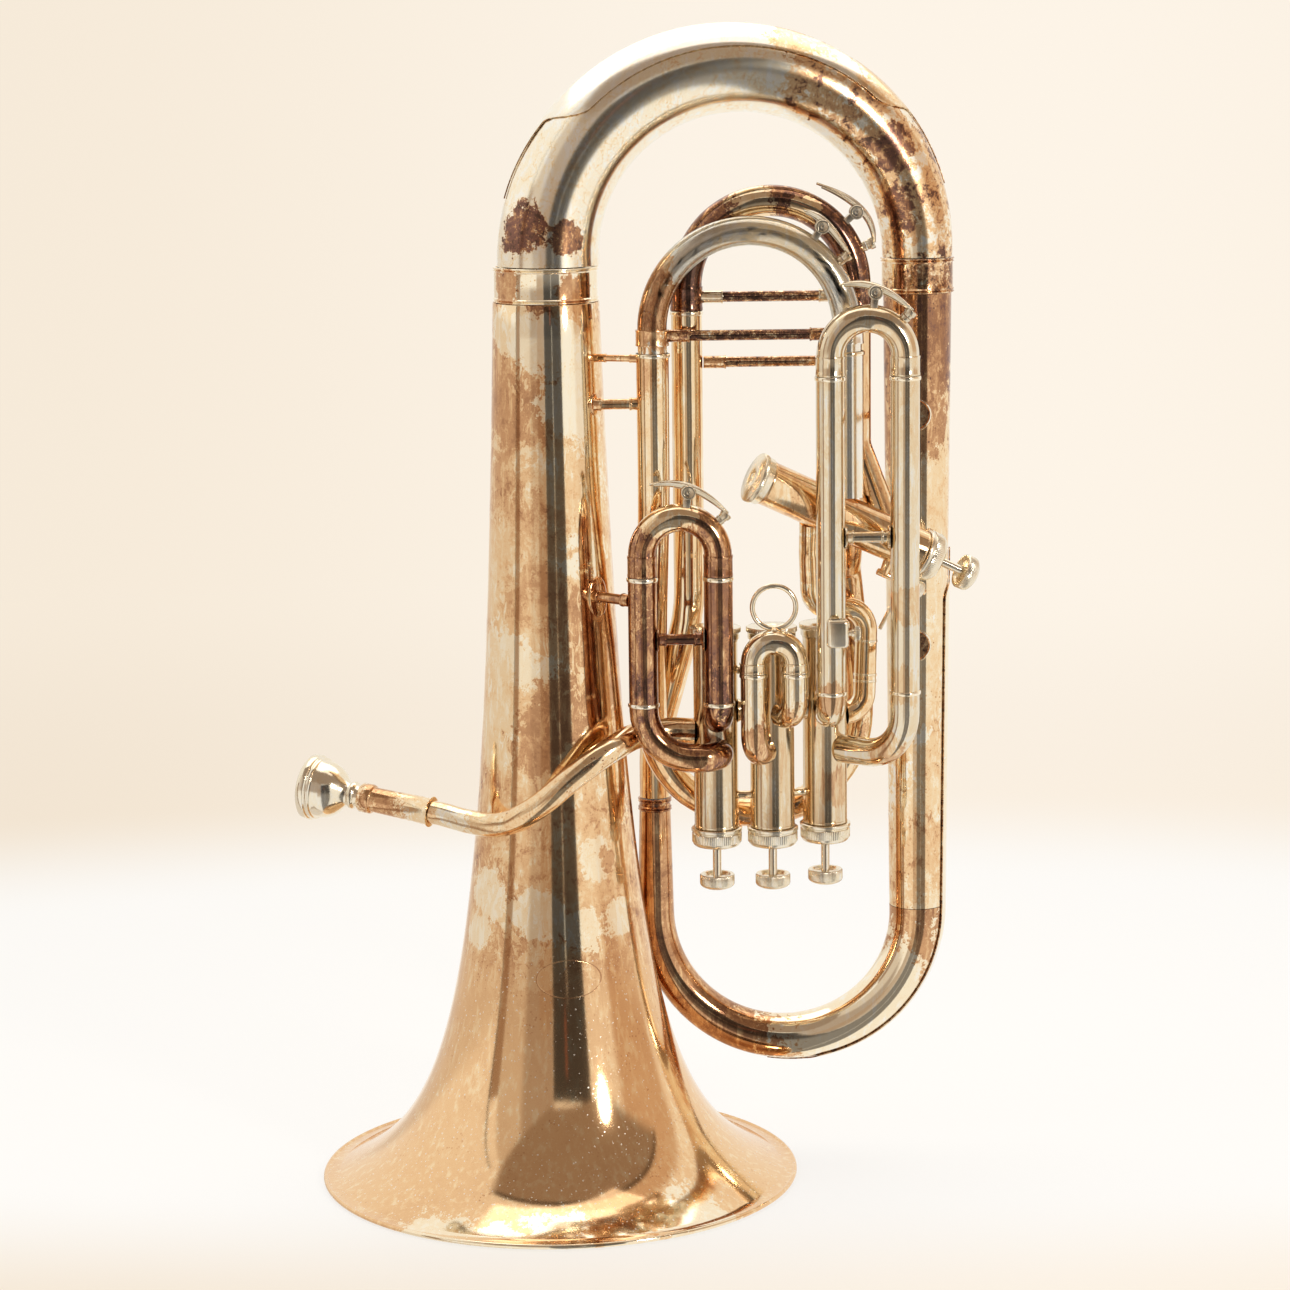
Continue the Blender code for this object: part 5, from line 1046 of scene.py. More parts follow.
S1_LEFT_X, S1_RIGHT_X = 0.0527, 0.0955
S1_SEAT_Z = 0.3625
s1_left = bent([P(S1_LEFT_X, FRONT_Y, S1_SEAT_Z), P(S1_LEFT_X, FRONT_Y, 0.2580), P(VALVE_1_X + 0.0025, FRONT_Y, 0.2580),
                P(VALVE_1_X, VALVE_Y, 0.2580)], [0.0285, 0.0120])
s1_right = bent([P(S1_RIGHT_X, FRONT_Y, S1_SEAT_Z), P(S1_RIGHT_X, FRONT_Y, 0.2787), P(VALVE_1_X, VALVE_Y, 0.2787)],
                [ELBOW_R])
brace_1 = flange_stay("brace", P(S1_LEFT_X + SLEEVE_R - 0.0004, FRONT_Y, 0.3267),
                      P(S1_RIGHT_X - SLEEVE_R - 0.0003, FRONT_Y, 0.3267))
stay_low = stay("stay", P(0.0248, -0.0264, 0.349), P(S1_LEFT_X - SLEEVE_R + 0.0012, FRONT_Y + 0.001, 0.349), ROD_R)
belongs(outer_tube("slide_1_left_tube", trimmed(s1_left, 0.0126), SLEEVE_R, rings=[0.0720],
                   extra=[brace_1, stay_low, bell_pad(48.4, 0.348, 0.0080, 0.0118)]),
        copper_plate, "horn", "copper", "slide_1_outer_left")
belongs(outer_tube("slide_1_right_tube", trimmed(s1_right, 0.0126), SLEEVE_R, rings=[0.0720]),
        copper_plate, "horn", "copper", "slide_1_outer_right")

S2_LEFT_X, S2_RIGHT_X = VALVE_2_X - 0.0112, VALVE_2_X + 0.0124
S2_SEAT_Z = 0.3067
s2_left = bent([P(S2_LEFT_X, FRONT_Y, S2_SEAT_Z), P(S2_LEFT_X, FRONT_Y, 0.2586), P(VALVE_2_X, VALVE_Y, 0.2586)],
               [ELBOW_R])
s2_right = bent([P(S2_RIGHT_X, FRONT_Y, S2_SEAT_Z), P(S2_RIGHT_X, FRONT_Y, 0.2800), P(VALVE_2_X, VALVE_Y, 0.2800)],
                [ELBOW_R])
rosy_plate = plate("rosy_plate", CREAM + 0.12, spread=0.30, patch=34, streak=0.5, bare=0.25, specks=0.7, flecks=0.6,
                   wipes=0.8, scrub=0.6, shade=0.10, shift=5.0, rough=0.08,
                   marks=[(P(S2_LEFT_X + 0.002, -0.050, 0.262), 0.016, BROWN - 0.04, 0.85),
                          (P(S2_RIGHT_X + 0.002, -0.048, 0.282), 0.011, COPPER, 0.8)])
bright_plate = plate("bright_plate", SILVER + 0.04, spread=0.14, patch=30, streak=0.6, bare=0.0, specks=0.5, wipes=0.6,
                     shift=5.0, rough=0.16,
                     marks=[(P(0.0610, -0.020, 0.512), 0.024, BROWN - 0.05, 0.85),
                            (P(0.0640, -0.020, 0.535), 0.012, COPPER, 0.7)])
for label, line in (("left", s2_left), ("right", s2_right)):
    belongs(outer_tube(f"slide_2_{label}_tube", trimmed(line, 0.0126), SLEEVE_2_R), rosy_plate, "horn", "silver",
            f"slide_2_outer_{label}")

S3_SEAT_Z = 0.4745
s3_left = bent([P(S3_LEFT_X, FRONT_Y, S3_SEAT_Z), P(S3_LEFT_X, FRONT_Y, 0.2809), P(VALVE_3_X, VALVE_3_Y, 0.2809)],
               [ELBOW_R])
s3_right = bent([P(S3_RIGHT_X, FRONT_Y, S3_SEAT_Z), P(S3_RIGHT_X, FRONT_Y, 0.2570), P(VALVE_3_X, VALVE_3_Y, 0.2570)],
                [0.0260])
brace_3 = flange_stay("brace", P(S3_LEFT_X + SLEEVE_R - 0.0004, FRONT_Y, 0.3838),
                      P(S3_RIGHT_X - SLEEVE_R - 0.0003, FRONT_Y, 0.3838))
champagne = plate("champagne_plate", CREAM + 0.10, spread=0.30, patch=22, streak=0.3, bare=0.12, wipes=0.8, mottle=0.2,
                  scrub=0.4, shade=0.20, shift=6.1, rough=0.08,
                  marks=[(P(S3_RIGHT_X, -0.054, 0.345), 0.012, COPPER, 0.6),
                         (P(S3_RIGHT_X - 0.006, -0.050, 0.300), 0.014, COPPER, 0.5),
                         (P(S3_RIGHT_X - 0.014, -0.048, 0.262), 0.012, COPPER + 0.04, 0.8),
                         (P(S3_LEFT_X, -0.054, 0.292), 0.010, COPPER + 0.04, 0.8)])
belongs(outer_tube("slide_3_left_tube", trimmed(s3_left, 0.0126), SLEEVE_R, rings=[0.1785], extra=[brace_3]),
        champagne, "horn", "silver", "slide_3_outer_left")
belongs(outer_tube("slide_3_right_tube", trimmed(s3_right, 0.0126), SLEEVE_R, rings=[0.1785]),
        champagne, "horn", "silver", "slide_3_outer_right")


def hoop(left, right, seat_z, leg_in, lift):
    """Line of a moving slide: two straight legs and a half circle between them."""
    r = (right - left).length / 2
    top = seat_z + lift + r
    low = seat_z - leg_in
    return bent([Vector((left.x, left.y, low)), Vector((left.x, left.y, top)), Vector((right.x, right.y, top)),
                 Vector((right.x, right.y, low))], [r, r], 24)


def moving_slide(name, left, right, seat_z, leg_in, ferrule_h, leg_r, bow_r, sleeve_r, out=0.0, extra=(), proud=0.0004):
    """Two thin legs, a ferrule on each and the bow over them."""
    line = hoop(left, right, seat_z, leg_in, out + ferrule_h)
    parts = [drawn("legs", line, [leg_r] * len(line))]
    bow = [p for p in line if p.z >= seat_z + out + ferrule_h * 0.5]
    first = Vector((left.x, left.y, seat_z + out + ferrule_h * 0.5))
    last = Vector((right.x, right.y, seat_z + out + ferrule_h * 0.5))
    bow = [first] + [p for p in bow if (p - first).length > 1e-5 and (p - last).length > 1e-5] + [last]
    parts.append(drawn("bow", bow, [bow_r] * len(bow)))
    for leg in (left, right):
        parts.append(band("ferrule", Vector((leg.x, leg.y, seat_z + out)), UP, sleeve_r - 0.0002, ferrule_h, proud))
    return joined(name, *parts, *extra)


def at(x, y):
    """A leg's place on plan."""
    return P(x, y, 0)


# Water keys. A spring lever on a saddle post opens a vent at the lowest point of each slide's bow. The
# lever is nickel silver, curved along the bow, with a barrel for its screw and a cork in a cup.
KEY_W = 0.0064
KEY_T = 0.0015
BARREL_R = 0.0024
BARREL_L = 0.0058
CORK_R = 0.0034
CORK_L = 0.0046


# The water keys and their posts take a darker copy of the nickel silver plate: painted shade on the keys.
shaded_key_plate = plate("shaded_key_plate", CREAM, spread=0.16, patch=80, bare=0.0, specks=0.7, shade=0.34, shift=2.4, rough=0.18)


def key_parts(centre, arc_r, tube_r, pivot_turn, cork_turn, rise, tip_off):
    """Saddle and vent on the bow, and the lever with its barrel, tip and cork."""
    def on_bow(turn, radius):
        a = math.radians(turn)
        return centre + Vector((math.sin(a), 0, math.cos(a))) * radius
    pivot = on_bow(pivot_turn, arc_r + tube_r + rise)
    inward = (centre - pivot).normalized()
    across = Vector((0, 1, 0))
    along = across.cross(inward).normalized()
    fixed = []
    ear_y = BARREL_L / 2 + 0.0003
    for side_sign in (-1, 1):
        a = pivot + across * side_sign * ear_y
        fixed.append(rounded(turned("ear", [(0, 0), (0.0038, 0), (0.0041, 0.0004), (0.0041, 0.0010), (0.0037, 0.0014),
                                            (0.0026, 0.0014), (0.0024, 0.0008), (0, 0.0008)], a,
                                    across * side_sign, 40), 0.0001))
    fixed.append(rounded(turned("screw", [(0, 0), (0.0010, 0), (0.0010, BARREL_L + 0.0030), (0, BARREL_L + 0.0030)],
                                pivot - across * (BARREL_L / 2 + 0.0014), across, 24), 0.0001))
    bpy.ops.object.select_all(action="DESELECT")
    deep = rise + tube_r * 0.35
    bpy.ops.mesh.primitive_cube_add(size=1.0)
    saddle = bpy.context.object
    saddle.scale = (0.0040, BARREL_L + 0.0006 + 0.0026, deep - BARREL_R - 0.0003)
    saddle.rotation_mode = "QUATERNION"
    saddle.rotation_quaternion = Vector((0, 0, -1)).rotation_difference(inward)
    saddle.location = pivot + inward * (BARREL_R + 0.0003 + (deep - BARREL_R - 0.0003) / 2)
    bpy.ops.object.transform_apply(location=True, rotation=True, scale=True)
    fixed.append(rounded(saddle, 0.0004, 3))
    vent = on_bow(cork_turn, arc_r + tube_r + 0.0016)
    down = (vent - centre).normalized()
    fixed.append(rounded(turned("vent", [(0.0012, 0.0030), (0.0030, 0.0030), (0.0030, 0.0024), (0.0026, 0.0008),
                                         (0.0032, -0.0008), (0.0012, -0.0008)], vent - down * 0.0030, down, 32), 0.0001))
    cork_face = on_bow(cork_turn, arc_r + tube_r + 0.0016 + 0.0003)
    cork_back = on_bow(cork_turn, arc_r + tube_r + 0.0016 + 0.0003 + CORK_L)
    tip = pivot + Vector((tip_off[0], 0, tip_off[1]))
    moving = [rounded(turned("barrel", [(0, 0), (BARREL_R, 0), (BARREL_R, BARREL_L), (0, BARREL_L)],
                             pivot - across * BARREL_L / 2, across, 32), 0.0002)]
    moving.append(rounded(turned("cup", [(0, 0), (CORK_R - 0.0004, 0), (CORK_R, 0.0004), (CORK_R, CORK_L * 0.62),
                                         (CORK_R - 0.0006, CORK_L * 0.62), (CORK_R - 0.0006, CORK_L), (0, CORK_L)],
                                 cork_back, cork_face - cork_back, 40), 0.0001))
    over = pivot - inward * (BARREL_R + KEY_T * 0.35)
    bend = over * 2 - (tip + cork_back) / 2
    steps = 22
    bpy.ops.object.select_all(action="DESELECT")
    bpy.ops.mesh.primitive_grid_add(x_subdivisions=steps, y_subdivisions=6, size=2.0)
    blade = bpy.context.object
    for vertex in blade.data.vertices:
        t, v = vertex.co.x * 0.5 + 0.5, vertex.co.y
        c = tip * (1 - t) ** 2 + bend * 2 * t * (1 - t) + cork_back * t * t
        d = ((bend - tip) * (1 - t) + (cork_back - bend) * t).normalized()
        lift = across.cross(d).normalized()
        if lift.dot(inward) > 0:
            lift = -lift
        width = KEY_W / 2 * (0.30 + 0.70 * min(1.0, t * 1.8) ** 0.8) * (1 - 0.25 * max(0.0, t - 0.86) / 0.14)
        if t < 0.08:
            width *= 0.45 + 0.55 * (t / 0.08) ** 0.5
        vertex.co = c + across * v * width + lift * 0.0005 * (1 - v * v)
    skin = blade.modifiers.new("thickness", "SOLIDIFY")
    skin.thickness = KEY_T * 0.8
    skin.offset = 0.0
    bpy.context.view_layer.objects.active = blade
    bpy.ops.object.modifier_apply(modifier=skin.name)
    moving.append(rounded(blade, 0.00035, 3))
    ridge = []
    for k in range(1, 20):
        t = k / 20
        ridge.append(tip * (1 - t) ** 2 + bend * 2 * t * (1 - t) + cork_back * t * t + inward * 0.0002)
    moving.append(drawn("ridge", ridge, [0.0009 + 0.0014 * math.sin(math.pi * k / 20) ** 0.8 for k in range(1, 20)]))
    return [finished(part, shaded_key_plate) for part in fixed], moving


S1_FERRULE_H = 0.0120
S3_FERRULE_H = 0.0110
S4_FERRULE_H = 0.0090
M_FERRULE_H = 0.0135
GAP = 0.0003
S4_LEFT_X, S4_RIGHT_X = 0.0599, 0.1699
S4_Y = -0.0180
S4_SEAT_Z = 0.4860
S4_OUT = 0.0040
s4_r = (S4_RIGHT_X - S4_LEFT_X) / 2
keys = {
    "1": (P((S1_LEFT_X + S1_RIGHT_X) / 2, FRONT_Y, S1_SEAT_Z + GAP + S1_FERRULE_H), (S1_RIGHT_X - S1_LEFT_X) / 2, BOW_R,
          8.0, 49.0, 0.0068, (-0.0216, 0.0040)),
    "3": (P((S3_LEFT_X + S3_RIGHT_X) / 2, FRONT_Y, S3_SEAT_Z + GAP + S3_FERRULE_H), (S3_RIGHT_X - S3_LEFT_X) / 2, BOW_R,
          7.0, 45.0, 0.0068, (-0.0199, 0.0040)),
    "4": (P((S4_LEFT_X + S4_RIGHT_X) / 2, S4_Y, S4_SEAT_Z + GAP + S4_OUT + S4_FERRULE_H), s4_r,
          LEG_4_R, 36.0, 54.0, 0.0068, (-0.0100, 0.0085)),
    "main": (P((M_LEFT_X + M_RIGHT_X) / 2, M_Y, M_SEAT_Z + GAP + M_FERRULE_H), (M_RIGHT_X - M_LEFT_X) / 2,
             MAIN_SLEEVE_R, 50.0, 68.0, 0.0068, (-0.0226, 0.0160)),
}
posts = {}
for label, values in keys.items():
    fixed, moving = key_parts(*values)
    posts[label] = fixed
    belongs(joined(f"key_{label}", *moving), shaded_key_plate, f"key_{label}", "nickel", f"water_key_{label}")


# Moving slides. Slide 1 has gone coppery, slide 2 carries the pull ring, slide 3 is champagne with a
# grey line, slide 4 has brown legs under a bright bow, and the main slide is brown and speckled.
belongs(moving_slide("slide_1_hoop", at(S1_LEFT_X, FRONT_Y), at(S1_RIGHT_X, FRONT_Y), S1_SEAT_Z + GAP, LEG_IN,
                     S1_FERRULE_H, LEG_R, BOW_R, SLEEVE_R, extra=posts["1"]),
        copper_plate, "tuning_slide_1", "copper", "slide_1")
S2_FERRULE_H = 0.0057
RING_R = 0.01225
RING_WIRE_R = 0.0015
s2_r = (S2_RIGHT_X - S2_LEFT_X) / 2
bpy.ops.object.select_all(action="DESELECT")
bpy.ops.mesh.primitive_torus_add(major_radius=RING_R, minor_radius=RING_WIRE_R, major_segments=72, minor_segments=20,
                                 rotation=(math.pi / 2, 0, 0),
                                 location=P((S2_LEFT_X + S2_RIGHT_X) / 2, FRONT_Y, S2_SEAT_Z + S2_FERRULE_H + s2_r
                                            + SLEEVE_2_R + RING_R + RING_WIRE_R * 0.4))
pull_ring = bpy.context.object
bpy.ops.object.transform_apply(location=True, rotation=True, scale=True)
bpy.ops.object.shade_smooth()
foot = turned("foot", [(0, 0), (0.0034, 0), (0.0030, 0.0008), (0.0016, 0.0022), (0, 0.0024)],
              P((S2_LEFT_X + S2_RIGHT_X) / 2, FRONT_Y, S2_SEAT_Z + S2_FERRULE_H + s2_r + SLEEVE_2_R - 0.0006), UP, 32)
belongs(moving_slide("slide_2_hoop", at(S2_LEFT_X, FRONT_Y), at(S2_RIGHT_X, FRONT_Y), S2_SEAT_Z + GAP, LEG_2_IN,
                     S2_FERRULE_H, LEG_2_R, SLEEVE_2_R - 0.0002, SLEEVE_2_R, extra=[finished(pull_ring, ring_plate), foot], proud=0.0009),
        rosy_plate, "tuning_slide_2", "silver", "slide_2")
belongs(moving_slide("slide_3_hoop", at(S3_LEFT_X, FRONT_Y), at(S3_RIGHT_X, FRONT_Y), S3_SEAT_Z + GAP, LEG_IN,
                     S3_FERRULE_H, LEG_R, BOW_R, SLEEVE_R, extra=posts["3"]),
        champagne, "tuning_slide_3", "silver", "slide_3")

dark_rod = plate("dark_rod_plate", BROWN + 0.05, spread=0.20, patch=60, bare=0.2, flecks=1.0, mottle=0.9, shift=3.9,
                 rough=0.08)
rod_4_z = S4_SEAT_Z + GAP + S4_OUT + S4_FERRULE_H * 0.6
rod_4 = stay("rod", P(S4_LEFT_X + SLEEVE_4_R - 0.001, S4_Y, rod_4_z),
             P(S4_RIGHT_X - SLEEVE_4_R + 0.001, S4_Y, rod_4_z), ROD_R, dark_rod, flange_plate)
belongs(moving_slide("slide_4_hoop", at(S4_LEFT_X, S4_Y), at(S4_RIGHT_X, S4_Y), S4_SEAT_Z + GAP, LEG_IN,
                     S4_FERRULE_H, LEG_4_R, LEG_4_R, SLEEVE_4_R, out=S4_OUT,
                     extra=[rod_4] + posts["4"]),
        bright_plate, "tuning_slide_4", "silver", "slide_4")

rod_m_z = M_SEAT_Z + GAP + M_FERRULE_H * 0.55
rod_m = stay("rod", P(M_LEFT_X + MAIN_SLEEVE_R - 0.001, M_Y, rod_m_z),
             P(M_RIGHT_X - MAIN_SLEEVE_R + 0.001, M_Y, rod_m_z), ROD_R, dark_rod, casing_plate)
speckled = plate("speckled_plate", BROWN + 0.09, spread=0.18, patch=40, bare=0.2, flecks=0.8, shift=8.8,
                 marks=[(P(0.118, -0.006, 0.570), 0.014, CREAM, 0.8), (P(0.146, -0.006, 0.566), 0.010, CREAM, 0.7)])
belongs(moving_slide("main_slide_hoop", at(M_LEFT_X, M_Y), at(M_RIGHT_X, M_Y), M_SEAT_Z + GAP, LEG_IN,
                     M_FERRULE_H, MAIN_LEG_R, MAIN_SLEEVE_R, MAIN_SLEEVE_R + 0.0003,
                     extra=[rod_m] + posts["main"]),
        speckled, "main_slide", "copper", "main_tuning_slide")


# Fourth valve. Its loop drops behind the casings in a wide U and climbs to the slanted valve, beside
# the outer tubes of slide 4 and of the main slide, and a crossover joins it to valve 3.
def on_valve_4(x):
    """Point of the fourth valve's axis at a given x from the bell's axis."""
    return P(*VALVE_4_START) + axis_4 * ((x - VALVE_4_START.x) / axis_4.x)


RISER_X, RISER_Y = 0.1774, 0.0150
RISER_TOP_X = 0.1715
LOOP_LEFT_X = 0.0573
LOOP_Z = 0.2137
loop = bent([P(S4_LEFT_X, S4_Y, S4_SEAT_Z), P(S4_LEFT_X, S4_Y, 0.4050), P(LOOP_LEFT_X, 0.0040, 0.3050),
             P(LOOP_LEFT_X, 0.0060, LOOP_Z), P(RISER_X, RISER_Y, LOOP_Z), P(RISER_X + 0.0010, RISER_Y, 0.2900),
             P(RISER_TOP_X, RISER_Y, 0.3560), on_valve_4(RISER_TOP_X)], [0.12, 0.12, 0.0585, 0.0585, 0.05, 0.012], 16)
stay_mid = stay("stay", P(0.0260, -0.0188, 0.4574), P(S4_LEFT_X - SLEEVE_4_R + 0.001, S4_Y, 0.4574), ROD_R)
stay_top = stay("stay", P(0.0296, -0.0104, 0.4830), P(S4_LEFT_X - SLEEVE_4_R + 0.001, S4_Y, 0.4830), THIN_ROD_R)
loop_plate = plate("loop_plate", COPPER - 0.06, spread=0.20, patch=20, streak=0.5, bare=0.3, wipes=0.8, shift=2.6,
                   marks=[(P(S4_LEFT_X, S4_Y - 0.008, 0.430), 0.035, CREAM + 0.06, 0.7)])
belongs(outer_tube("valve_4_loop_tube", trimmed(loop, 0.0126), SLEEVE_4_R, 0.0080,
                   extra=[stay_mid, stay_top, bell_pad(57, 0.4574, 0.0050, 0.0066)]),
        loop_plate, "horn", "gilded", "fourth_valve_loop")
s4_right = bent([P(S4_RIGHT_X, S4_Y, S4_SEAT_Z), P(S4_RIGHT_X, S4_Y, 0.4250), on_valve_4(S4_RIGHT_X)], [0.004])
belongs(outer_tube("slide_4_right_tube", trimmed(s4_right, 0.0126), SLEEVE_4_R), bright_plate, "horn", "silver",
        "slide_4_outer_right")
m_right = bent([P(M_RIGHT_X, M_Y, M_SEAT_Z), P(M_RIGHT_X, M_Y, 0.4300), on_valve_4(0.1950)], [0.016])
copper_rod = plate("copper_rod_plate", COPPER, spread=0.16, patch=60, bare=0.2, flecks=0.7, mottle=0.7, shift=1.9)
fixed_rod = stay("rod", P(M_RIGHT_X - MAIN_SLEEVE_R + 0.001, M_Y, 0.4787),
                 P(M_LEFT_X + MAIN_SLEEVE_R + 0.0005, M_Y, 0.4787), ROD_R, copper_rod, copper_rod)
belongs(outer_tube("main_slide_right_tube", trimmed(m_right, 0.0126), MAIN_SLEEVE_R,
                   extra=[fixed_rod]),
        gold_plate, "horn", "gilded", "main_slide_outer_right")


def beside_valve_3(x, y, z):
    """Point measured from the third valve's axis."""
    return P(VALVE_3_X + x, VALVE_3_Y + y, z)


cross_line = bent([beside_valve_3(0, 0, 0.2745), beside_valve_3(0.0230, 0.0065, 0.2760),
                   beside_valve_3(0.0250, 0.0105, 0.3370), beside_valve_3(-0.0070, 0.0025, 0.3370),
                   beside_valve_3(-0.0083, -0.0015, 0.3700), on_valve_4(VALVE_3_X - 0.0083)],
                  [0.012, 0.014, 0.012, 0.02], 10)
cross_line = trimmed(cross_line, 0.0126)
cross_line = trimmed(cross_line[::-1], 0.0126)[::-1]
rise_low, rise_high = beside_valve_3(0.0230, 0.0065, 0.2760), beside_valve_3(0.0250, 0.0105, 0.3370)
cross_parts = [drawn("crossover", cross_line, [0.0064] * len(cross_line))]
for share in (0.28, 0.34, 0.66):
    cross_parts.append(finished(band("ring", rise_low.lerp(rise_high, share), rise_high - rise_low, 0.0064, 0.0014, 0.0005),
                                ring_plate))
belongs(joined("crossover_tube_bent", *cross_parts),
        plate("yellow_plate", PALE_GOLD + 0.02, spread=0.16, patch=26, bare=0.3, wipes=0.8, shift=2.2),
        "horn", "copper", "crossover_tube")


# Leadpipe, receiver and mouthpiece. The leadpipe runs across the bell to the first valve. The
# mouthpiece is the brightest piece of all, turned with two rings on its rim and a collar on its shank.
ring_at = P(-0.0696, -0.0260, 0.2241)
mp_rim = P(-0.1432, 0.0060, 0.2335)
mp_dir = (mp_rim - ring_at).normalized()
lead_line = [ring_at, ring_at - mp_dir * 0.006, P(-0.0490, -0.0360, 0.2208), P(-0.0310, -0.0450, 0.2205),
             P(-0.0120, -0.0530, 0.2300), P(0.0130, -0.0535, 0.2500), P(0.0350, -0.0450, 0.2640),
             P(0.0520, -0.0280, 0.2690), P(0.0680, -0.0208, 0.2690),
             P(VALVE_1_X - 0.0126, VALVE_Y - 0.0004, 0.2686)]
belongs(drawn("leadpipe_tube", lead_line, evenly(lead_line, 0.0068, 0.0077), smooth=True),
        plate("lead_plate", PALE_GOLD + 0.06, spread=0.24, patch=34, bare=0.3, flecks=0.8, specks=1.0, scrub=0.6,
              shade=0.08, shift=2.9, rough=0.10),
        "horn", "copper", "leadpipe")
RECEIVER_R = 0.0080
RECEIVER_L = 0.0460
SHANK_R = 0.0058
rec = [(0.0042, GAP), (RECEIVER_R + 0.0004, GAP), (RECEIVER_R + 0.0010, 0.0006), (RECEIVER_R + 0.0008, 0.0012),
       (RECEIVER_R, 0.0015), (RECEIVER_R - 0.0005, RECEIVER_L * 0.5), (RECEIVER_R - 0.0008, RECEIVER_L * 0.82),
       (RECEIVER_R + 0.0002, RECEIVER_L * 0.835), (RECEIVER_R + 0.0006, RECEIVER_L * 0.86),
       (RECEIVER_R + 0.0006, RECEIVER_L - 0.001), (RECEIVER_R, RECEIVER_L), (SHANK_R + 0.0009, RECEIVER_L),
       (SHANK_R + 0.0003, RECEIVER_L - 0.02), (0.0042, RECEIVER_L - 0.024)]
belongs(rounded(turned("receiver", rec, ring_at, mp_dir), 0.00012),
        plate("receiver_plate", PALE_GOLD + 0.02, spread=0.25, patch=60, bare=0.3, specks=0.8, flecks=0.8, scrub=0.8,
              shift=7.0, rough=0.10, marks=[(P(-0.1000, -0.020, 0.2300), 0.014, BROWN - 0.02, 0.8)]),
        "horn", "silver", "mouthpiece_receiver")
MP_RIM_R = 0.01925
MP_CUP_R = 0.0128
mp_reach = (mp_rim - ring_at).length - RECEIVER_L
mp = [(0.0020, -0.0200), (0.0026, -0.0172), (0.0055, -0.0140), (0.0085, -0.0108), (0.0108, -0.0065),
      (0.0122, -0.0030), (MP_CUP_R, -0.0012), (MP_CUP_R + 0.0008, -0.0004), (MP_CUP_R + 0.0022, 0.0),
      (MP_RIM_R - 0.0030, -0.0001), (MP_RIM_R - 0.0012, -0.0006), (MP_RIM_R - 0.0003, -0.0014),
      (MP_RIM_R, -0.0024), (MP_RIM_R, -0.0048), (MP_RIM_R - 0.0003, -0.0056), (MP_RIM_R - 0.0011, -0.0061),
      (MP_RIM_R - 0.0012, -0.0068), (MP_RIM_R - 0.0010, -0.0074), (MP_RIM_R - 0.0012, -0.0084),
      (MP_RIM_R - 0.0020, -0.0088), (MP_RIM_R - 0.0024, -0.0098), (MP_RIM_R - 0.0026, -0.0122),
      (MP_RIM_R - 0.0033, -0.0150), (MP_RIM_R - 0.0047, -0.0180), (MP_RIM_R - 0.0068, -0.0208),
      (0.0098, -0.0232), (0.0078, -0.0252), (0.0069, -0.0266), (0.0067, -0.0275), (0.0072, -0.0284),
      (0.0080, -0.0290), (0.0081, -0.0300), (0.0077, -0.0309), (0.0066, -0.0318), (SHANK_R + 0.0005, -0.0330),
      (SHANK_R + 0.0003, -mp_reach), (SHANK_R - 0.0010, -mp_reach - 0.0150), (0.0030, -mp_reach - 0.0150),
      (0.0020, -0.0200)]
belongs(rounded(turned("mouthpiece_cup", mp, mp_rim, mp_dir, 128), 0.0001),
        plate("mouthpiece_plate", SILVER + 0.12, spread=0.12, patch=50, bare=0.0, specks=0.3, shade=0.12, shift=5.5,
              rough=0.12),
        "mouthpiece_body", "silver", "mouthpiece")


# Lyre box and lock. The box on the third slide holds a music lyre under a thumb screw, and the lever
# beside valve 4 turns on its post to hold that valve down.
LYRE_W, LYRE_D, LYRE_H = 0.0125, 0.0080, 0.0165
LYRE_HOLE = 0.0056
lyre_c = P(S3_LEFT_X + 0.0030, FRONT_Y - SLEEVE_R - GAP - LYRE_D / 2, 0.3313)
bpy.ops.object.select_all(action="DESELECT")
bpy.ops.mesh.primitive_cube_add(size=1.0, location=lyre_c)
box = bpy.context.object
box.scale = (LYRE_W, LYRE_D, LYRE_H)
bpy.ops.object.transform_apply(location=True, rotation=True, scale=True)
edge = box.modifiers.new("edge", "BEVEL")
edge.width = 0.0026
edge.segments = 5
bpy.ops.object.modifier_apply(modifier=edge.name)
bpy.ops.mesh.primitive_cube_add(size=1.0, location=lyre_c)
slot_tool = bpy.context.object
slot_tool.scale = (LYRE_HOLE, LYRE_HOLE, LYRE_H * 2)
bpy.ops.object.transform_apply(location=True, rotation=True, scale=True)
cut = box.modifiers.new("slot", "BOOLEAN")
cut.operation = "DIFFERENCE"
cut.object = slot_tool
bpy.context.view_layer.objects.active = box
bpy.ops.object.modifier_apply(modifier=cut.name)
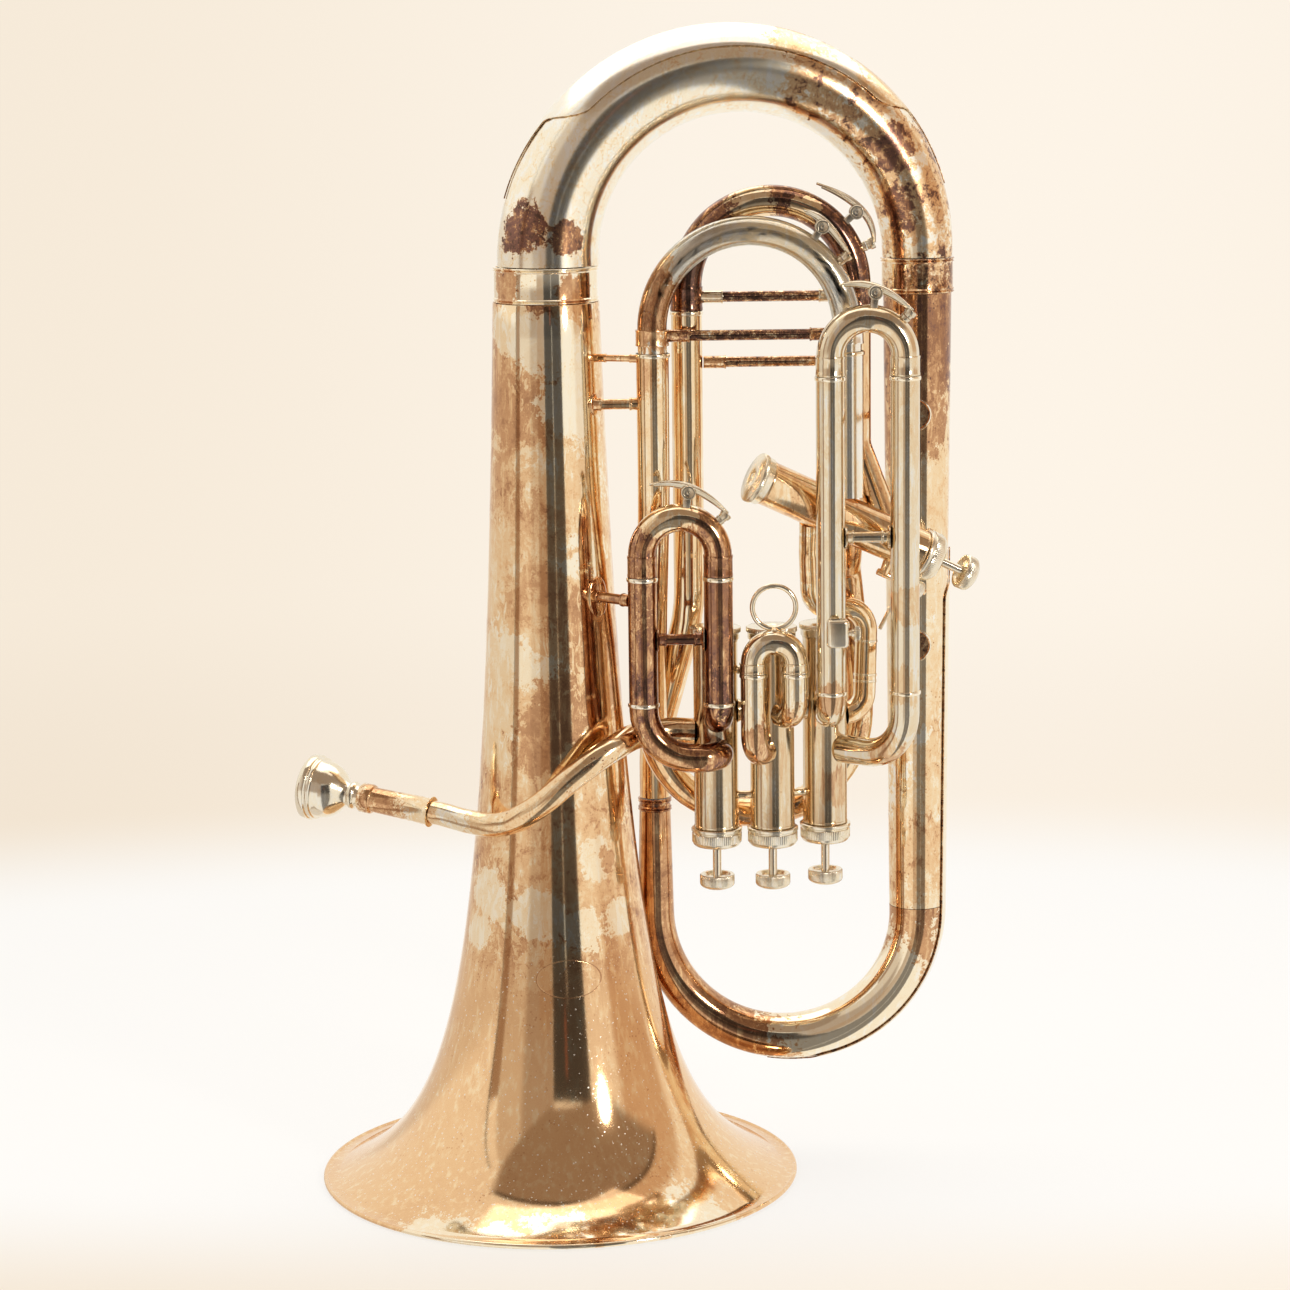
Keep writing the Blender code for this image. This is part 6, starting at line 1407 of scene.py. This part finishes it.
bpy.data.objects.remove(slot_tool)
box.name = "lyre_box"
belongs(rounded(box, 0.00015), nickel, "horn", "nickel", "lyre_holder")
screw_at = lyre_c + Vector((LYRE_HOLE / 2 + GAP, 0, 0))
thumb = turned("thumb_screw", [(0, 0), (0.0016, 0), (0.0016, 0.0045), (0.0024, 0.0048), (0.0024, 0.0062),
                               (0.0037, 0.0066), (0.0040, 0.0069), (0.0040, 0.0090), (0.0036, 0.0095), (0.0030, 0.0098),
                               (0, 0.0098)], screw_at, Vector((1, 0, 0)), 160)
milled(thumb, screw_at, Vector((1, 0, 0)), 0.0068, 0.0091, 0.0040, sides=96)
belongs(rounded(thumb, 0.0001), nickel, "lyre_thumb_screw", "nickel", "lyre_screw")

arm_at = cap_4_end - axis_4 * 0.0135 + post_line
hub = turned("hub", [(0.0021, 0), (0.0042, 0), (0.0042, 0.0020), (0.0034, 0.0020), (0.0034, 0.0040), (0.0047, 0.0040),
                     (0.0050, 0.0044), (0.0050, 0.0122), (0.0046, 0.0130), (0.0040, 0.0133), (0.0021, 0.0133),
                     (0.0021, 0)], arm_at, axis_4)
milled(hub, arm_at, axis_4, 0.0043, 0.0123, 0.0050, sides=96)
arm_dir = (below + axis_4.cross(below) * 0.15).normalized()
arm_line = [arm_at + axis_4 * 0.0010 + arm_dir * (0.0030 + 0.0270 * k / 10) for k in range(11)]
arm = drawn("arm", arm_line, [0.0026 - 0.0008 * k / 10 for k in range(11)])
for vertex in arm.data.vertices:
    depth = (vertex.co - arm_at - axis_4 * 0.0010).dot(axis_4)
    vertex.co -= axis_4 * depth * 0.45
belongs(joined("lock_lever", rounded(hub, 0.0001), arm), nickel, "lock", "nickel", "valve_4_lock")


# Pistons and springs. Polished nickel silver and steel wire, out of sight inside the casings.
for n in range(1, 5):
    for node, slot, metal in ((f"piston_{n}", "nickel", nickel), (f"valve_spring_{n}", "steel", nickel)):
        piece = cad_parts[node]
        piece.data.materials.clear()
        piece.data.materials.append(metal)

low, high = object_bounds()
